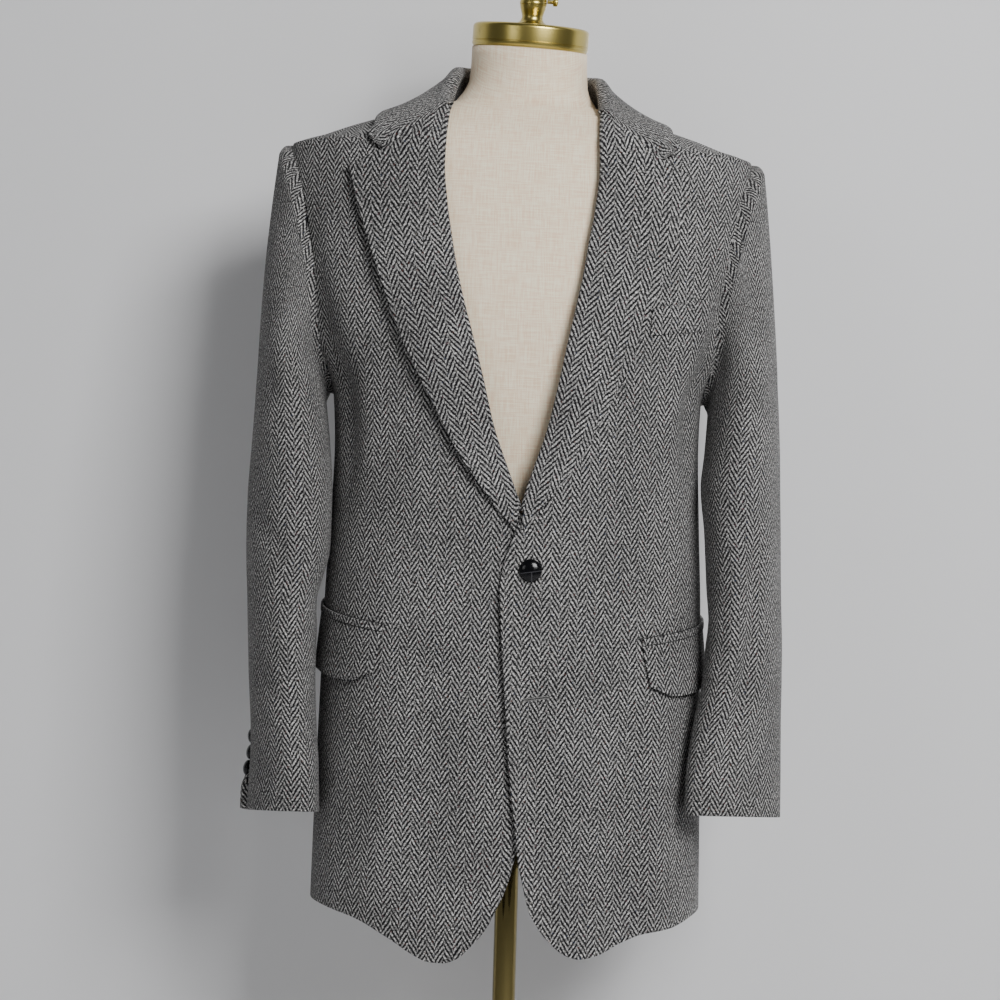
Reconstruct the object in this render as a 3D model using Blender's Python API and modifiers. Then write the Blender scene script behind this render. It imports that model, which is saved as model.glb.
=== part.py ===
"""A tweed sport coat standing on a limbless dress form.

Sizes in the tables and functions are millimetres, and MM turns them into metres when a mesh is made.
x runs to the wearer's left, y to the back and z up. The origin is the middle of the base's underside.
Every cloth piece is a wall between two grids of points, read from the same coat surface.
"""
import math

import bmesh
import bpy
import numpy as np
from mathutils import Euler, Vector

MM = 0.001
LEFT, RIGHT = 1, -1            # the wearer's sides

# ---- driving sizes ----
CLOTH = 2.0                    # body and sleeve cloth
DOUBLED = 3.0                  # two layers turned: lapels, collar, flaps, welt
SEAM_GAP = 0.3                 # between pieces that are sewn edge to edge
SEAM_CLEAR = 0.4               # the same, where the edges meet at a corner
LAY_GAP = 0.6                  # under a piece that lies on another
ARMHOLE_TOP = 1395.0
ARMHOLE_BOTTOM = 1150.0
ARMHOLE_HALF_DEPTH = 64.0      # front to back, halved
ARMHOLE_HALF_HEIGHT = (ARMHOLE_TOP - ARMHOLE_BOTTOM) / 2
HEM_LEVEL = 650.0              # where hem columns are spaced
HEM_TOP = 760.0                # rows are level from here up
V_BOTTOM = 1041.0              # where the roll lines cross
GORGE_LEVEL = 1428.0           # where the roll line meets the collar
VENT_TOP = 905.0               # centre back vent
VENT_UNDERLAP = 34.0
VENT_DIP = 9.0                 # where the under back reaches its full depth
BICEPS_LEVEL = 1140.0
CROWN_FULLNESS = 30.0          # how strongly the sleeve head swells before it falls
CUFF_TONGUE = 5.0              # how far the cuff vent's under part runs under the top sleeve
SLEEVE_SEAM_STEP = 0.31        # from a sleeve seam's line to each piece's edge
COLLAR_SEAT = 0.8              # how far the collar's foot stands over its seam
FORM_DROP = 2.9                # the form's shoulders lie this far under the coat's outer face
NECK_TOP = 1500.0
NECK_RADIUS = 57.5
NECK_NOD, NECK_TILT = math.radians(8), math.radians(3)
POLE_RADIUS = 11.5
FORM_BOTTOM = 780.0
FORM_LEVELS = (*range(850, 1310, 55), 1310, 1350, 1378, 1392)
BASE_TOP = 44.0


class Table:
    """Rows of named columns. The first column is the key, in rising order."""

    def __init__(self, names, *rows):
        self.keys = np.array([row[0] for row in rows], float)
        self.columns = {name: np.array([row[i] for row in rows], float)
                        for i, name in enumerate(names.split())}
        self.slopes = {name: self._slopes(column) for name, column in self.columns.items()}

    def _slopes(self, values):
        """Slopes of a smooth curve that never overshoots its rows."""
        steps = np.diff(values) / np.diff(self.keys)
        inner = [0.0 if a * b <= 0 else 2 * a * b / (a + b) for a, b in zip(steps, steps[1:])]
        return np.array([steps[0], *inner, steps[-1]])

    def at(self, key, name):
        """A column's value at a key, held level past both ends."""
        keys, values, slopes = self.keys, self.columns[name], self.slopes[name]
        key = min(max(key, keys[0]), keys[-1])
        i = min(int(np.searchsorted(keys, key, side="right")) - 1, len(keys) - 2)
        span = keys[i + 1] - keys[i]
        t = (key - keys[i]) / span
        return ((1 + 2 * t) * (1 - t) ** 2 * values[i] + t * (1 - t) ** 2 * span * slopes[i]
                + t * t * (3 - 2 * t) * values[i + 1] - t * t * (1 - t) * span * slopes[i + 1])


# Level sections of the coat's outer face, from under the hem to the neckline.
BODY = Table(
    "height half_width front back power",
    (600, 194, 133, 128, 2.5),
    (760, 191.5, 131, 126, 2.5),
    (860, 189, 130, 121, 2.5),
    (950, 187, 127, 110, 2.5),
    (1040, 183, 126, 99, 2.4),
    (1100, 181, 128, 97, 2.4),
    (1150, 183, 131, 101, 2.35),
    (1200, 205, 131, 106, 2.35),
    (1250, 220, 130, 110, 2.3),
    (1300, 229, 123, 112, 2.25),
    (1350, 233, 113, 109, 2.2),
    (1385, 231.5, 102, 104, 2.2),
    (1395, 228.5, 99, 101, 2.2),
    (1402, 205, 95, 98, 2.2),
    (1410, 184, 89, 95, 2.2),
    (1418, 160, 82, 90, 2.2),
    (1426, 131, 75, 85, 2.2),
    (1433, 108, 70, 79, 2.2),
    (1440, 90, 66, 73, 2.2),
    (1446, 76, 63, 67, 2.2))

# Soft folds of the body: where each runs, how wide and how deep (a trough is below zero).
FOLDS = Table(
    "angle low high width depth",
    (-152, 640, 900, 20, 5.0),
    (-128, 640, 980, 16, -4.0),
    (-62, 1060, 1330, 9, -4.5),
    (-48, 1090, 1300, 9, 2.5),
    (-33, 640, 860, 11, 3.0),
    (31, 640, 840, 11, -3.0),
    (44, 640, 900, 12, 3.5),
    (52, 1110, 1290, 9, 2.5),
    (64, 1080, 1320, 9, -4.5),
    (122, 640, 960, 16, -4.0),
    (150, 640, 920, 20, 5.0))

# The coat hangs a little askew: a sideways sway, and a lean that lowers the wearer's left side.
ASKEW = Table(
    "height sway lean",
    (0, 0, 0),
    (600, -2.2, 0),
    (1050, -2.2, 0),
    (1300, -5, 0.0155),
    (1395, -5, 0.0155),
    (1440, -2.5, 0.03),
    (1475, -0.4, 0.052),
    (1600, -0.4, 0.052))

# The roll lines of the lapels: the middle between them, and half the distance.
ROLL = Table(
    "height centre half",
    (1022, 5, 1),
    (1041, 5, 2),
    (1060, 4, 7.5),
    (1080, 3.5, 14.5),
    (1120, 3, 28),
    (1160, 3, 37.5),
    (1200, 2, 46.8),
    (1240, 1, 56.5),
    (1270, 0.5, 63),
    (1300, 0, 68),
    (1330, 0, 73),
    (1370, 0, 77),
    (1415, 0, 76),
    (1446, 0, 75.6))

# Front edges below the crossing. The under front's edge is hidden down to about 740.
FRONT_EDGE = Table(
    "height over under",
    (640, 40, -30),
    (661, 23, -9.3),
    (690, 15.5, 2.5),
    (710, 11, 7.5),
    (742, 7.2, 13),
    (785, 1.3, 20),
    (828, -2.7, 27),
    (872, -6.2, 31),
    (916, -10, 33),
    (942, -11.5, 34),
    (965, -13, 34),
    (985, -11, 32),
    (1005, -5, 24),
    (1022, 0.5, 12),
    (1041, 7.2, 3))

# The hem, by distance from the middle.
HEM = Table(
    "distance over under back",
    (0, 680, 652, 668),
    (9, 672, 661, 668),
    (23, 661, 635, 667),
    (39, 636, 619, 666),
    (54, 621.5, 612, 665),
    (70, 618.5, 612.5, 664),
    (89, 624, 620, 663),
    (108, 634, 631, 661),
    (133, 640, 643, 659),
    (160, 643, 650, 657),
    (190, 652, 654, 655),
    (200, 653, 654, 655))

# A lapel, from its lower end to the notch: the roll line's height, and its outer edge there.
LAPEL = Table(
    "row roll_height edge_half edge_height centre",
    (0, 1041, 3, 1022.5, 2.7),
    (1, 1062, 24, 1047, 2.7),
    (2, 1087, 43, 1073, 2.7),
    (3, 1116, 61, 1101, 2.7),
    (4, 1147, 76.5, 1132, 2.5),
    (5, 1178, 90.5, 1160, 2),
    (6, 1215, 109, 1200, 1),
    (7, 1252, 122, 1236, 0),
    (8, 1290, 135, 1272, 0),
    (9, 1335, 150, 1316, 0),
    (10, 1370, 160, 1349, 0),
    (11, 1392, 164, 1365, 0),
    (12, 1410, 147, 1373.5, 0),
    (13, GORGE_LEVEL, 130, 1381.5, 0))

# The collar, from the gorge to the centre back: its seam on the coat, the fall's edge, the stand's rise.
COLLAR = Table(
    "station seam_height seam_angle edge_height edge_angle rise lean",
    (0, GORGE_LEVEL, 34.9, 1381.5, 31.9, 3, 0.32),
    (1, 1436, 47.4, 1402, 42.5, 8, 0.32),
    (2, 1441.5, 60, 1412, 51.5, 14, 0.32),
    (3, 1444.8, 74, 1420, 63, 21, 0.32),
    (4, 1446, 90, 1426, 88, 27, 0.3),
    (5, 1446, 108, 1428.5, 112, 31, 0.26),
    (6, 1446, 126, 1430, 133, 34, 0.2),
    (7, 1446, 144, 1431, 150, 37, 0.15),
    (8, 1446, 162, 1431, 166, 39, 0.11),
    (9, 1446, 180, 1431, 180, 40, 0.09))
COLLAR_STATIONS = (0, 0.5, 1, 1.5, 2, 2.5, 3, 3.35, 3.7, 4, 4.3, 4.65, 5, 6, 7, 8, 9)
COLLAR_TIP = (37.3, 1392.0)    # angle and height of the fall's front corner

# Level sections of each sleeve below the arm: centre, half sizes, turn in degrees, seam twist.
SLEEVES = {
    LEFT: Table(
        "height centre forward half_width half_depth turn twist",
        (735, 218.5, 73, 25, 61, 51, 0),
        (787, 219, 68, 28, 61, 48, 0),
        (835, 222, 58, 33, 61.2, 38, 0),
        (881, 226.5, 50, 35, 62.3, 25, 0),
        (920, 227.5, 46, 35.5, 64, 19, 0),
        (954, 227, 41, 35.5, 66.6, 16, 0),
        (1021, 224.5, 36, 37, 71.4, 12, 0),
        (1069, 222, 28, 38.9, 74.9, 10, 0),
        (1100, 223.5, 22, 37.5, 78, 7, 0),
        (1140, 225, 12, 35.5, 82.5, 5, 0)),
    RIGHT: Table(
        "height centre forward half_width half_depth turn twist",
        (735, 220, 53, 31.6, 57.6, 27, 76),
        (787, 219.5, 50, 30.5, 60.5, 21, 74),
        (825, 221.3, 48, 31, 62, 15, 66),
        (874, 224.4, 45, 32, 64, 12, 47),
        (947, 226, 38, 34.5, 67, 12, 20),
        (1000, 222.5, 36, 40.5, 67.3, 14, 6),
        (1050, 222.5, 32, 41, 71.7, 12, 0),
        (1100, 223.5, 22, 38.5, 77, 8, 0),
        (1140, 225, 12, 35.5, 82.5, 5, 0))}
CUFF_LEVEL = {LEFT: 750.0, RIGHT: 741.0}
CUFF_SLOPE = 0.12              # the cuff is cut lower at the back
CUFF_BUTTON_RISES = (38.0, 53.3, 68.6)
ARMHOLE_ROWS = (1150, 1158, 1178, 1215, 1262, 1310, 1350, 1377, 1391, 1395)
SLEEVE_RISES = (350, 300, 250, 205, 160, 115, 79, 54, 38, 20, 0)    # rows above the cuff
FRONT_SEAM_COLUMN, BACK_SEAM_COLUMN = 7, 13    # sleeve seams, in columns round from the shoulder

# The cuff vent, by rise above the cuff: how far its under part goes in, goes under, and stands out behind.
CUFF_VENT = Table(
    "rise inward under bulge",
    (0, 2.9, CUFF_TONGUE, 6),
    (20, 2.9, CUFF_TONGUE, 7),
    (38, 2.9, CUFF_TONGUE, 2),
    (54, 2.9, 0, 0),
    (79, 0, 0, 0),
    (400, 0, 0, 0))

# How far the form lies inside the coat's outer face.
FORM_INSET = Table(
    "height side front back",
    (780, 44, 30, 32),
    (860, 26, 22, 18),
    (950, 28, 24, 16),
    (1040, 32, 26, 14),
    (1120, 24, 22, 12),
    (1200, 28, 15, 8),
    (1280, 36, 9, 6),
    (1340, 34, 7, 5),
    (1380, 26, 5, 3),
    (1398, 12, 4, 2),
    (1406, 0, 3, 2),
    (1428, 0, 3.5, 2),
    (1438, 3, 7, 3),
    (1446, 6, 10, 5))
FORM_NECK = Table(
    "height half_width front back",
    (1453, 64.5, 58, 59.5),
    (1464, 59.5, 57, 58),
    (1482, 58, 57.3, 57.5),
    (1500, NECK_RADIUS, NECK_RADIUS, NECK_RADIUS))

LEVEL_ROWS = (760, 840, 910, 960, 990, 1022, 1041, 1075, 1112,
              1150, 1158, 1178, 1215, 1262, 1310, 1350, 1377, 1391, 1395,
              1402, 1410, 1418, 1427, 1437, 1446)
HEM_ROWS = (0.0, 0.2, 0.55)


# Corners of the pocket pieces: angle round from the front middle, and height.
JET = {"front_top": (36.5, 925.5), "side_top": (98, 945), "front_low": (36.5, 919.3), "side_low": (98, 938.5)}
FLAP = {"front_top": (36.5, 918.7), "side_top": (98, 937.9), "front_low": (39.5, 872), "side_low": (98, 880)}
WELT = {"front_top": (32.6, 1238), "side_top": (53.5, 1252),
        "front_low": (33.3, 1212), "side_low": (55.5, 1221)}


def smooth(low, high, value):
    """0 below low, 1 above high, and a smooth rise between."""
    t = min(max((value - low) / (high - low), 0.0), 1.0)
    return t * t * (3 - 2 * t)


def mix(a, b, t):
    return a + (b - a) * t


# ---- the coat's surface ----
def fold_height(angle, height):
    """How far the soft folds lift the cloth at a place."""
    lift = 0.0
    columns = FOLDS.columns
    names = ("angle", "low", "high", "width", "depth")
    for at, low, high, width, depth in zip(*(columns[n] for n in names)):
        across = (angle - at) / width
        if abs(across) < 3:
            length = smooth(low - 40, low + 40, height) * (1 - smooth(high - 70, high, height))
            lift += depth * length * math.exp(-across * across * 2)
    return lift


def level_point(angle, height):
    """The outer face without its thickness: angle 0 is the front middle, 90 the left side, 180 the back."""
    half_width, front, back, power = (BODY.at(height, n) for n in ("half_width", "front", "back", "power"))
    angle = (angle + 180) % 360 - 180
    lift = fold_height(angle, height)
    turn = math.radians(abs(angle))
    across = abs(math.sin(turn)) ** (2 / power)
    along = abs(math.cos(turn)) ** (2 / power)
    depth = -(front + lift) if abs(angle) < 90 else back + lift
    return Vector((math.copysign((half_width + lift) * across, angle), depth * along, height))


def body(angle, height, out=0.0):
    """A point of the coat, moved out along the normal of its outer face."""
    point = level_point(angle, height)
    if out == 0.0:
        return point
    low, high = min(height, 1445.0) - 1.0, min(height, 1445.0) + 1.0
    around = level_point(angle + 0.4, height) - level_point(angle - 0.4, height)
    upward = level_point(angle, high) - level_point(angle, low)
    return point + around.cross(upward).normalized() * out


def angle_at_x(x, height, back=False):
    """The angle at which the level section reaches a distance from the middle."""
    ratio = min(abs(x) / BODY.at(height, "half_width"), 1.0)
    angle = math.degrees(math.asin(ratio ** (BODY.at(height, "power") / 2)))
    return math.copysign(180 - angle if back else angle, x if x else 1.0)


def side_angle(height, back=False):
    """Where a front or back panel ends: the side seam, the armhole, or the shoulder seam."""
    middle = (ARMHOLE_TOP + ARMHOLE_BOTTOM) / 2
    reach = 1 - ((height - middle) / (ARMHOLE_TOP - middle)) ** 2
    opening = ARMHOLE_HALF_DEPTH * math.sqrt(reach) if reach > 0 else 0.0
    depth = max(opening, SEAM_GAP / 2)
    ratio = depth / BODY.at(height, "back" if back else "front")
    angle = math.degrees(math.acos(ratio ** (BODY.at(height, "power") / 2)))
    return 180 - angle if back else angle


def lap_height(side, x, height):
    """How far the left front stands out where it laps over the right one."""
    if side == RIGHT:
        return 0.0
    return (CLOTH + LAY_GAP) * (1 - smooth(45, 105, x)) * (1 - smooth(1045, 1130, height))


def front_edge(side, height):
    """The x of a front's inner edge: the buttoning edge, then the roll line."""
    if height < V_BOTTOM:
        return FRONT_EDGE.at(height, "over" if side == LEFT else "under")
    return ROLL.at(height, "centre") + side * ROLL.at(height, "half")


def on_front(side, x, height, out):
    """A point on a front panel's outer face, moved out."""
    return body(angle_at_x(x, height), height, lap_height(side, x, height) + out)


# ---- making objects ----
def settle(point):
    """Moves a point with the coat's small lean, and turns millimetres into metres."""
    x, y, z = point
    return Vector((x + ASKEW.at(z, "sway"), y, z - x * ASKEW.at(z, "lean"))) * MM


def material(name, color, roughness, metallic=0.0):
    made = bpy.data.materials.new(name)
    made.use_nodes = True
    shader = made.node_tree.nodes["Principled BSDF"]
    shader.inputs["Base Color"].default_value = (*color, 1.0)
    shader.inputs["Roughness"].default_value = roughness
    shader.inputs["Metallic"].default_value = metallic
    made.diffuse_color = (*color, 1.0)
    return made


def add_object(name, mesh, finish):
    made = bpy.data.objects.new(name, mesh)
    mesh.materials.append(finish)
    mesh.shade_smooth()
    mesh.set_sharp_from_angle(angle=math.radians(40))
    bpy.data.collections["dressed_form"].objects.link(made)
    return made


def closed_mesh(name, points, faces, finish):
    """A mesh from settled points, with its faces turned outward."""
    made = bmesh.new()
    verts = [made.verts.new(settle(point)) for point in points]
    for face in faces:
        made.faces.new([verts[i] for i in face])
    bmesh.ops.recalc_face_normals(made, faces=made.faces)
    mesh = bpy.data.meshes.new(name)
    made.to_mesh(mesh)
    made.free()
    return add_object(name, mesh, finish)


def wall(name, outer, inner, finish):
    """A cloth wall lofted between two grids of points, with its four rims closed."""
    rows, columns = len(outer), len(outer[0])
    points = [p for row in outer for p in row] + [p for row in inner for p in row]
    under = rows * columns

    def at(row, column, face=0):
        return face * under + row * columns + column

    faces = []
    for r in range(rows - 1):
        for c in range(columns - 1):
            faces.append((at(r, c), at(r, c + 1), at(r + 1, c + 1), at(r + 1, c)))
            faces.append((at(r, c, 1), at(r + 1, c, 1), at(r + 1, c + 1, 1), at(r, c + 1, 1)))
    border = [at(0, c) for c in range(columns)] + [at(r, columns - 1) for r in range(1, rows)]
    border += [at(rows - 1, c) for c in range(columns - 2, -1, -1)]
    border += [at(r, 0) for r in range(rows - 2, 0, -1)]
    for a, b in zip(border, border[1:] + border[:1]):
        faces.append((a, a + under, b + under, b))
    return closed_mesh(name, points, faces, finish)


def grid_normals(grid, ring=False):
    """Normals of a grid of points. A ring's last column meets its first."""
    rows, columns = len(grid), len(grid[0])
    normals = []
    for r in range(rows):
        line = []
        for c in range(columns):
            before, after = max(c - 1, 0), min(c + 1, columns - 1)
            if ring:
                before, after = (c - 1) % columns, (c + 1) % columns
            around = grid[r][after] - grid[r][before]
            along = grid[min(r + 1, rows - 1)][c] - grid[max(r - 1, 0)][c]
            line.append(around.cross(along).normalized())
        normals.append(line)
    return normals


def turned(name, profile, finish, steps=32, place=(0, 0, 0), turn=(0, 0, 0), parent=None):
    """A solid turned from (radius, height) points that run from the top down, first and last on the axis."""
    mesh = bpy.data.meshes.new(name)
    mesh.from_pydata([(radius * MM, 0, height * MM) for radius, height in profile],
                     [(i, i + 1) for i in range(len(profile) - 1)], [])
    made = add_object(name, mesh, finish)
    screw = made.modifiers.new("turn", "SCREW")
    screw.steps = screw.render_steps = steps
    screw.use_merge_vertices = True
    screw.merge_threshold = 0.00001
    screw.use_smooth_shade = True
    made.location = Vector(place) * MM
    made.rotation_euler = turn
    made.parent = parent
    return made


# ---- the coat ----
def panel_heights(column_hem):
    """The heights of a panel's column, from its hem up."""
    return [mix(column_hem, HEM_TOP, t) for t in HEM_ROWS] + list(LEVEL_ROWS)


def make_front(side, finish):
    """A front, from the hem to the shoulder seam, with its inner edge on the roll line."""
    columns = 11
    hem_name = "over" if side == LEFT else "under"
    corner = 661.0 if side == LEFT else 650.0
    spread = [(c / columns) ** 1.35 for c in range(columns + 1)]
    start = angle_at_x(front_edge(side, corner), HEM_LEVEL) * side
    hems = []
    for t in spread:
        x = abs(level_point(mix(start, 90, t), HEM_LEVEL).x)
        hems.append(HEM.at(x, hem_name) if t else corner)
    outer, inner = [], []
    for row in range(len(HEM_ROWS) + len(LEVEL_ROWS)):
        edge_height = panel_heights(hems[0])[row]
        low = angle_at_x(front_edge(side, edge_height), edge_height) * side
        outer_row, inner_row = [], []
        for t, hem in zip(spread, hems):
            height = panel_heights(hem)[row]
            angle = side * mix(low, side_angle(height), t)
            lap = lap_height(side, level_point(angle, height).x, height)
            outer_row.append(body(angle, height, lap))
            inner_row.append(body(angle, height, lap - CLOTH))
        outer.append(outer_row)
        inner.append(inner_row)
    wall("front_left" if side == LEFT else "front_right", outer, inner, finish)


def vent_depth(side, x, height):
    """The right back dips under the left one at the vent, and runs on as its underlap."""
    if side == LEFT:
        return 0.0
    open_below = 1 - smooth(VENT_TOP + 5, VENT_TOP + 50, height)
    return -(CLOTH + 2 * LAY_GAP) * smooth(-40, -VENT_DIP, x) * open_below


def make_back(side, finish):
    """Half of the back, from the centre seam to the side seam."""
    columns = 8
    outer, inner = [], []
    for row in range(len(HEM_ROWS) + len(LEVEL_ROWS)):
        outer_row, inner_row = [], []
        for c in range(columns + 1):
            t = max(c - 1, 0) / (columns - 1)
            x_hem = abs(level_point(180 - 90 * t, HEM_LEVEL).x)
            height = panel_heights(HEM.at(x_hem, "back"))[row]
            angle = mix(angle_at_x(VENT_DIP, height, back=True), side_angle(height, back=True), t)
            if c == 0:
                under = side == RIGHT and height < VENT_TOP - 20
                angle = angle_at_x(VENT_UNDERLAP if under else SEAM_GAP / 2, height, back=True)
                angle = 360 - angle if under else angle
            angle *= side
            out = vent_depth(side, level_point(angle, height).x, height)
            outer_row.append(body(angle, height, out))
            inner_row.append(body(angle, height, out - CLOTH))
        outer.append(outer_row)
        inner.append(inner_row)
    wall("back_left" if side == LEFT else "back_right", outer, inner, finish)


def armhole_rings(side):
    """The armhole's outer and inner corner points, round from the shoulder by the front."""
    front = [(h, False) for h in reversed(ARMHOLE_ROWS)]
    back = [(h, True) for h in ARMHOLE_ROWS[1:-1]]
    outer, inner = [], []
    for height, is_back in front + back:
        angle = side_angle(height, is_back)
        if height in (ARMHOLE_ROWS[0], ARMHOLE_ROWS[-1]):
            angle = 90
        outer.append(body(side * angle, height))
        inner.append(body(side * angle, height, -CLOTH))
    return outer, inner


def sleeve_point(side, height, place):
    """A point of the sleeve's outer face: place is in degrees round from the outer side by the front."""
    names = ("centre", "forward", "half_width", "half_depth", "turn")
    centre, forward, half_width, half_depth, turn = (SLEEVES[side].at(height, n) for n in names)
    place, turn = math.radians(place), math.radians(turn)
    across = half_width * math.cos(place)
    along = -half_depth * math.sin(place)
    x = centre + across * math.cos(turn) + along * math.sin(turn)
    y = -forward + along * math.cos(turn) - across * math.sin(turn)
    return Vector((side * x, y, height))


def sleeve_grid(side):
    """Rings of points down the sleeve: the seam, the roll over it, the head, then the arm."""
    seam_outer, seam_inner = armhole_rings(side)
    middle = Vector((seam_outer[0].x, 0, (ARMHOLE_TOP + ARMHOLE_BOTTOM) / 2))
    places = []
    for point in seam_outer:
        up, front = (point.z - middle.z) / ARMHOLE_HALF_HEIGHT, -point.y / ARMHOLE_HALF_DEPTH
        places.append(math.degrees(math.atan2(front, up)) % 360)
    outward = Vector((side, 0, 0))
    clear = [(Vector((0, -p.y, middle.z - p.z)).normalized() + outward * 0.9).normalized() * SEAM_CLEAR
             for p in seam_outer]
    rings = [[p + gap for p, gap in zip(seam_outer, clear)]]
    first_inner = [p + gap for p, gap in zip(seam_inner, clear)]
    roll, shoulder = [], []
    for point in seam_outer:
        high = smooth(ARMHOLE_BOTTOM, ARMHOLE_TOP, point.z)
        forward = -1.0 if point.y < -1 else (1.0 if point.y > 1 else 0.0)
        roll.append(point + Vector((side * mix(3.2, 6.5, high), forward * 2, mix(1.2, -1.2, high))))
        shoulder.append(point + Vector((side * mix(5.6, 12.5, high), forward * 5, mix(0.4, -9, high ** 3))))
    rings += [roll, shoulder]
    for t in (0.12, 0.32, 0.56, 0.8, 1.0):
        ring = []
        for start, place in zip(shoulder, places):
            end = sleeve_point(side, BICEPS_LEVEL, place)
            drop = start.z - end.z
            leave = Vector((side * CROWN_FULLNESS * smooth(1160, 1390, start.z), 0, -drop))
            arrive = (end - sleeve_point(side, BICEPS_LEVEL - 20, place)) * (-drop / 20)
            h00, h10 = (1 + 2 * t) * (1 - t) ** 2, t * (1 - t) ** 2
            h01, h11 = t * t * (3 - 2 * t), -t * t * (1 - t)
            ring.append(start * h00 + leave * h10 + end * h01 + arrive * h11)
        rings.append(ring)
    for rise in SLEEVE_RISES:
        height = CUFF_LEVEL[side] + rise
        twist, forward = (SLEEVES[side].at(height, n) for n in ("twist", "forward"))
        ring = []
        for place in places:
            point = sleeve_point(side, height, place + twist)
            point.z -= CUFF_SLOPE * (point.y + forward) * (1 - smooth(0, 60, rise))
            ring.append(point)
        rings.append(ring)
    normals = [[n * side for n in line] for line in grid_normals(rings, ring=True)]
    inside = [[p - n * CLOTH for p, n in zip(row, line)] for row, line in zip(rings, normals)]
    inside[0] = first_inner
    return rings, inside, normals


def nudged(row, column, step):
    """A ring's point moved a small way along the ring, for a seam."""
    point, other = row[column % len(row)], row[(column + step) % len(row)]
    return point + (other - point).normalized() * SLEEVE_SEAM_STEP


def make_sleeve(side, finish):
    """A two-piece sleeve. Returns the outer face of its under sleeve, for the buttons."""
    outer, inner, normals = sleeve_grid(side)
    count = len(outer[0])
    word = "left" if side == LEFT else "right"
    for name, first, last in (("sleeve_top_", BACK_SEAM_COLUMN, FRONT_SEAM_COLUMN + count),
                              ("sleeve_under_", FRONT_SEAM_COLUMN, BACK_SEAM_COLUMN)):
        grids = []
        for face in (outer, inner):
            grid = [[row[c % count].copy() for c in range(first, last + 1)] for row in face]
            for line, row in zip(grid, face):
                line[0], line[-1] = nudged(row, first, 1), nudged(row, last, -1)
            grids.append(grid)
        if name == "sleeve_under_":
            grids = [vent_columns(side, grid, outer, normals) for grid in grids]
        wall(name + word, *grids, finish)
    return grids[0]


def vent_columns(side, grid, rings, normals):
    """The under sleeve's back edge at the cuff vent: tucked under the top sleeve, and full behind it."""
    opening = 1.0 if side == RIGHT else 0.35
    first_row = len(rings) - len(SLEEVE_RISES)
    made = []
    for r, line in enumerate(grid):
        behind = line[-2].lerp(line[-1], 0.45)
        near = line[-1] + (line[-2] - line[-1]).normalized() * 1.5
        if r >= first_row:
            rise = SLEEVE_RISES[r - first_row]
            inward, under, bulge = (CUFF_VENT.at(rise, n) for n in ("inward", "under", "bulge"))
            normal = normals[r][BACK_SEAM_COLUMN]
            after = rings[r][BACK_SEAM_COLUMN + 1] - rings[r][BACK_SEAM_COLUMN]
            behind = behind + normal * bulge * opening
            near = near - normal * inward * 1.1
            line[-1] = line[-1] - normal * inward + after.normalized() * under
            line[-2] = line[-2] + normals[r][BACK_SEAM_COLUMN - 1] * bulge * opening * 0.4
            for point, raised in ((behind, 1.5), (near, 5.0), (line[-1], 6.0)):
                point.z += raised * (1 - smooth(0, 30, rise))
        made.append(line[:-1] + [behind, near, line[-1]])
    return made


def make_lapel(side, finish):
    """A lapel, from the roll line to its outer edge, lying on the front."""
    across = (0.0, 0.17, 0.34, 0.5, 0.75, 1.0)
    outer, inner = [], []
    for row in range(len(LAPEL.keys)):
        roll_height, edge_half, edge_height, centre = (
            LAPEL.at(row, n) for n in ("roll_height", "edge_half", "edge_height", "centre"))
        top_gap = 0.25 if row == len(LAPEL.keys) - 1 else 0.0
        roll_x, edge_x = front_edge(side, roll_height), centre + side * edge_half
        outer_row, inner_row = [], []
        for t in across:
            x, height = mix(roll_x, edge_x, t), mix(roll_height, edge_height, t) - top_gap
            belly = 3.5 * math.sin(math.pi * t) * smooth(0, 5, row) + 1.2 * t
            lift = LAY_GAP + belly + 0.4 * smooth(3, 7, row) + 1.1 * smooth(8, 12, row)
            outer_row.append(on_front(side, x, height, lift + DOUBLED))
            inner_row.append(on_front(side, x, height, lift))
        outer.append(outer_row)
        inner.append(inner_row)
    wall("lapel_left" if side == LEFT else "lapel_right", outer, inner, finish)


def collar_station(side, station):
    """One section of the collar's under face: up the stand, over the fold, down the fall."""
    names = ("seam_height", "seam_angle", "edge_height", "edge_angle", "rise", "lean")
    seam_height, seam_angle, edge_height, edge_angle, rise, lean = (COLLAR.at(station, n) for n in names)
    seam = body(side * seam_angle, seam_height) + Vector((0, 0, COLLAR_SEAT))
    away = Vector((seam.x, seam.y, 0)).normalized()
    stand = Vector((0, 0, rise)) - away * rise * lean
    points = [seam, seam + stand * 0.5, seam + stand]
    for t in (0.0, 0.2, 0.4, 0.6, 0.8, 1.0):
        angle, height = mix(seam_angle, edge_angle, t), mix(seam_height, edge_height, t)
        if station == 0:
            along = min(t / 0.8, 1)
            angle, height = mix(seam_angle, edge_angle, along), mix(seam_height, edge_height, along)
            if t > 0.8:
                angle, height = COLLAR_TIP
            height += 0.35
        base = body(side * angle, height, LAY_GAP + 1.4 + 1.4 * smooth(-1, 1.5, station) * smooth(0, 0.6, t))
        points.append(base + stand * (1 - t) ** 1.6 + away * 1.6 * (1 - t))
    return points


def make_collar(finish):
    """The collar, in one piece from gorge to gorge round the back of the neck."""
    sections = [collar_station(LEFT, s) for s in COLLAR_STATIONS]
    sections += [collar_station(RIGHT, s) for s in COLLAR_STATIONS[-2::-1]]
    normals = grid_normals(sections)
    top = [[p + n * DOUBLED for p, n in zip(row, line)] for row, line in zip(sections, normals)]
    wall("collar", top, sections, finish)


def within(corners, u, v):
    """The angle and height of a place in a four-cornered piece: u runs to the side, v runs down."""
    top = [mix(a, b, u) for a, b in zip(corners["front_top"], corners["side_top"])]
    low = [mix(a, b, u) for a, b in zip(corners["front_low"], corners["side_low"])]
    return mix(top[0], low[0], v), mix(top[1], low[1], v)


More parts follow.
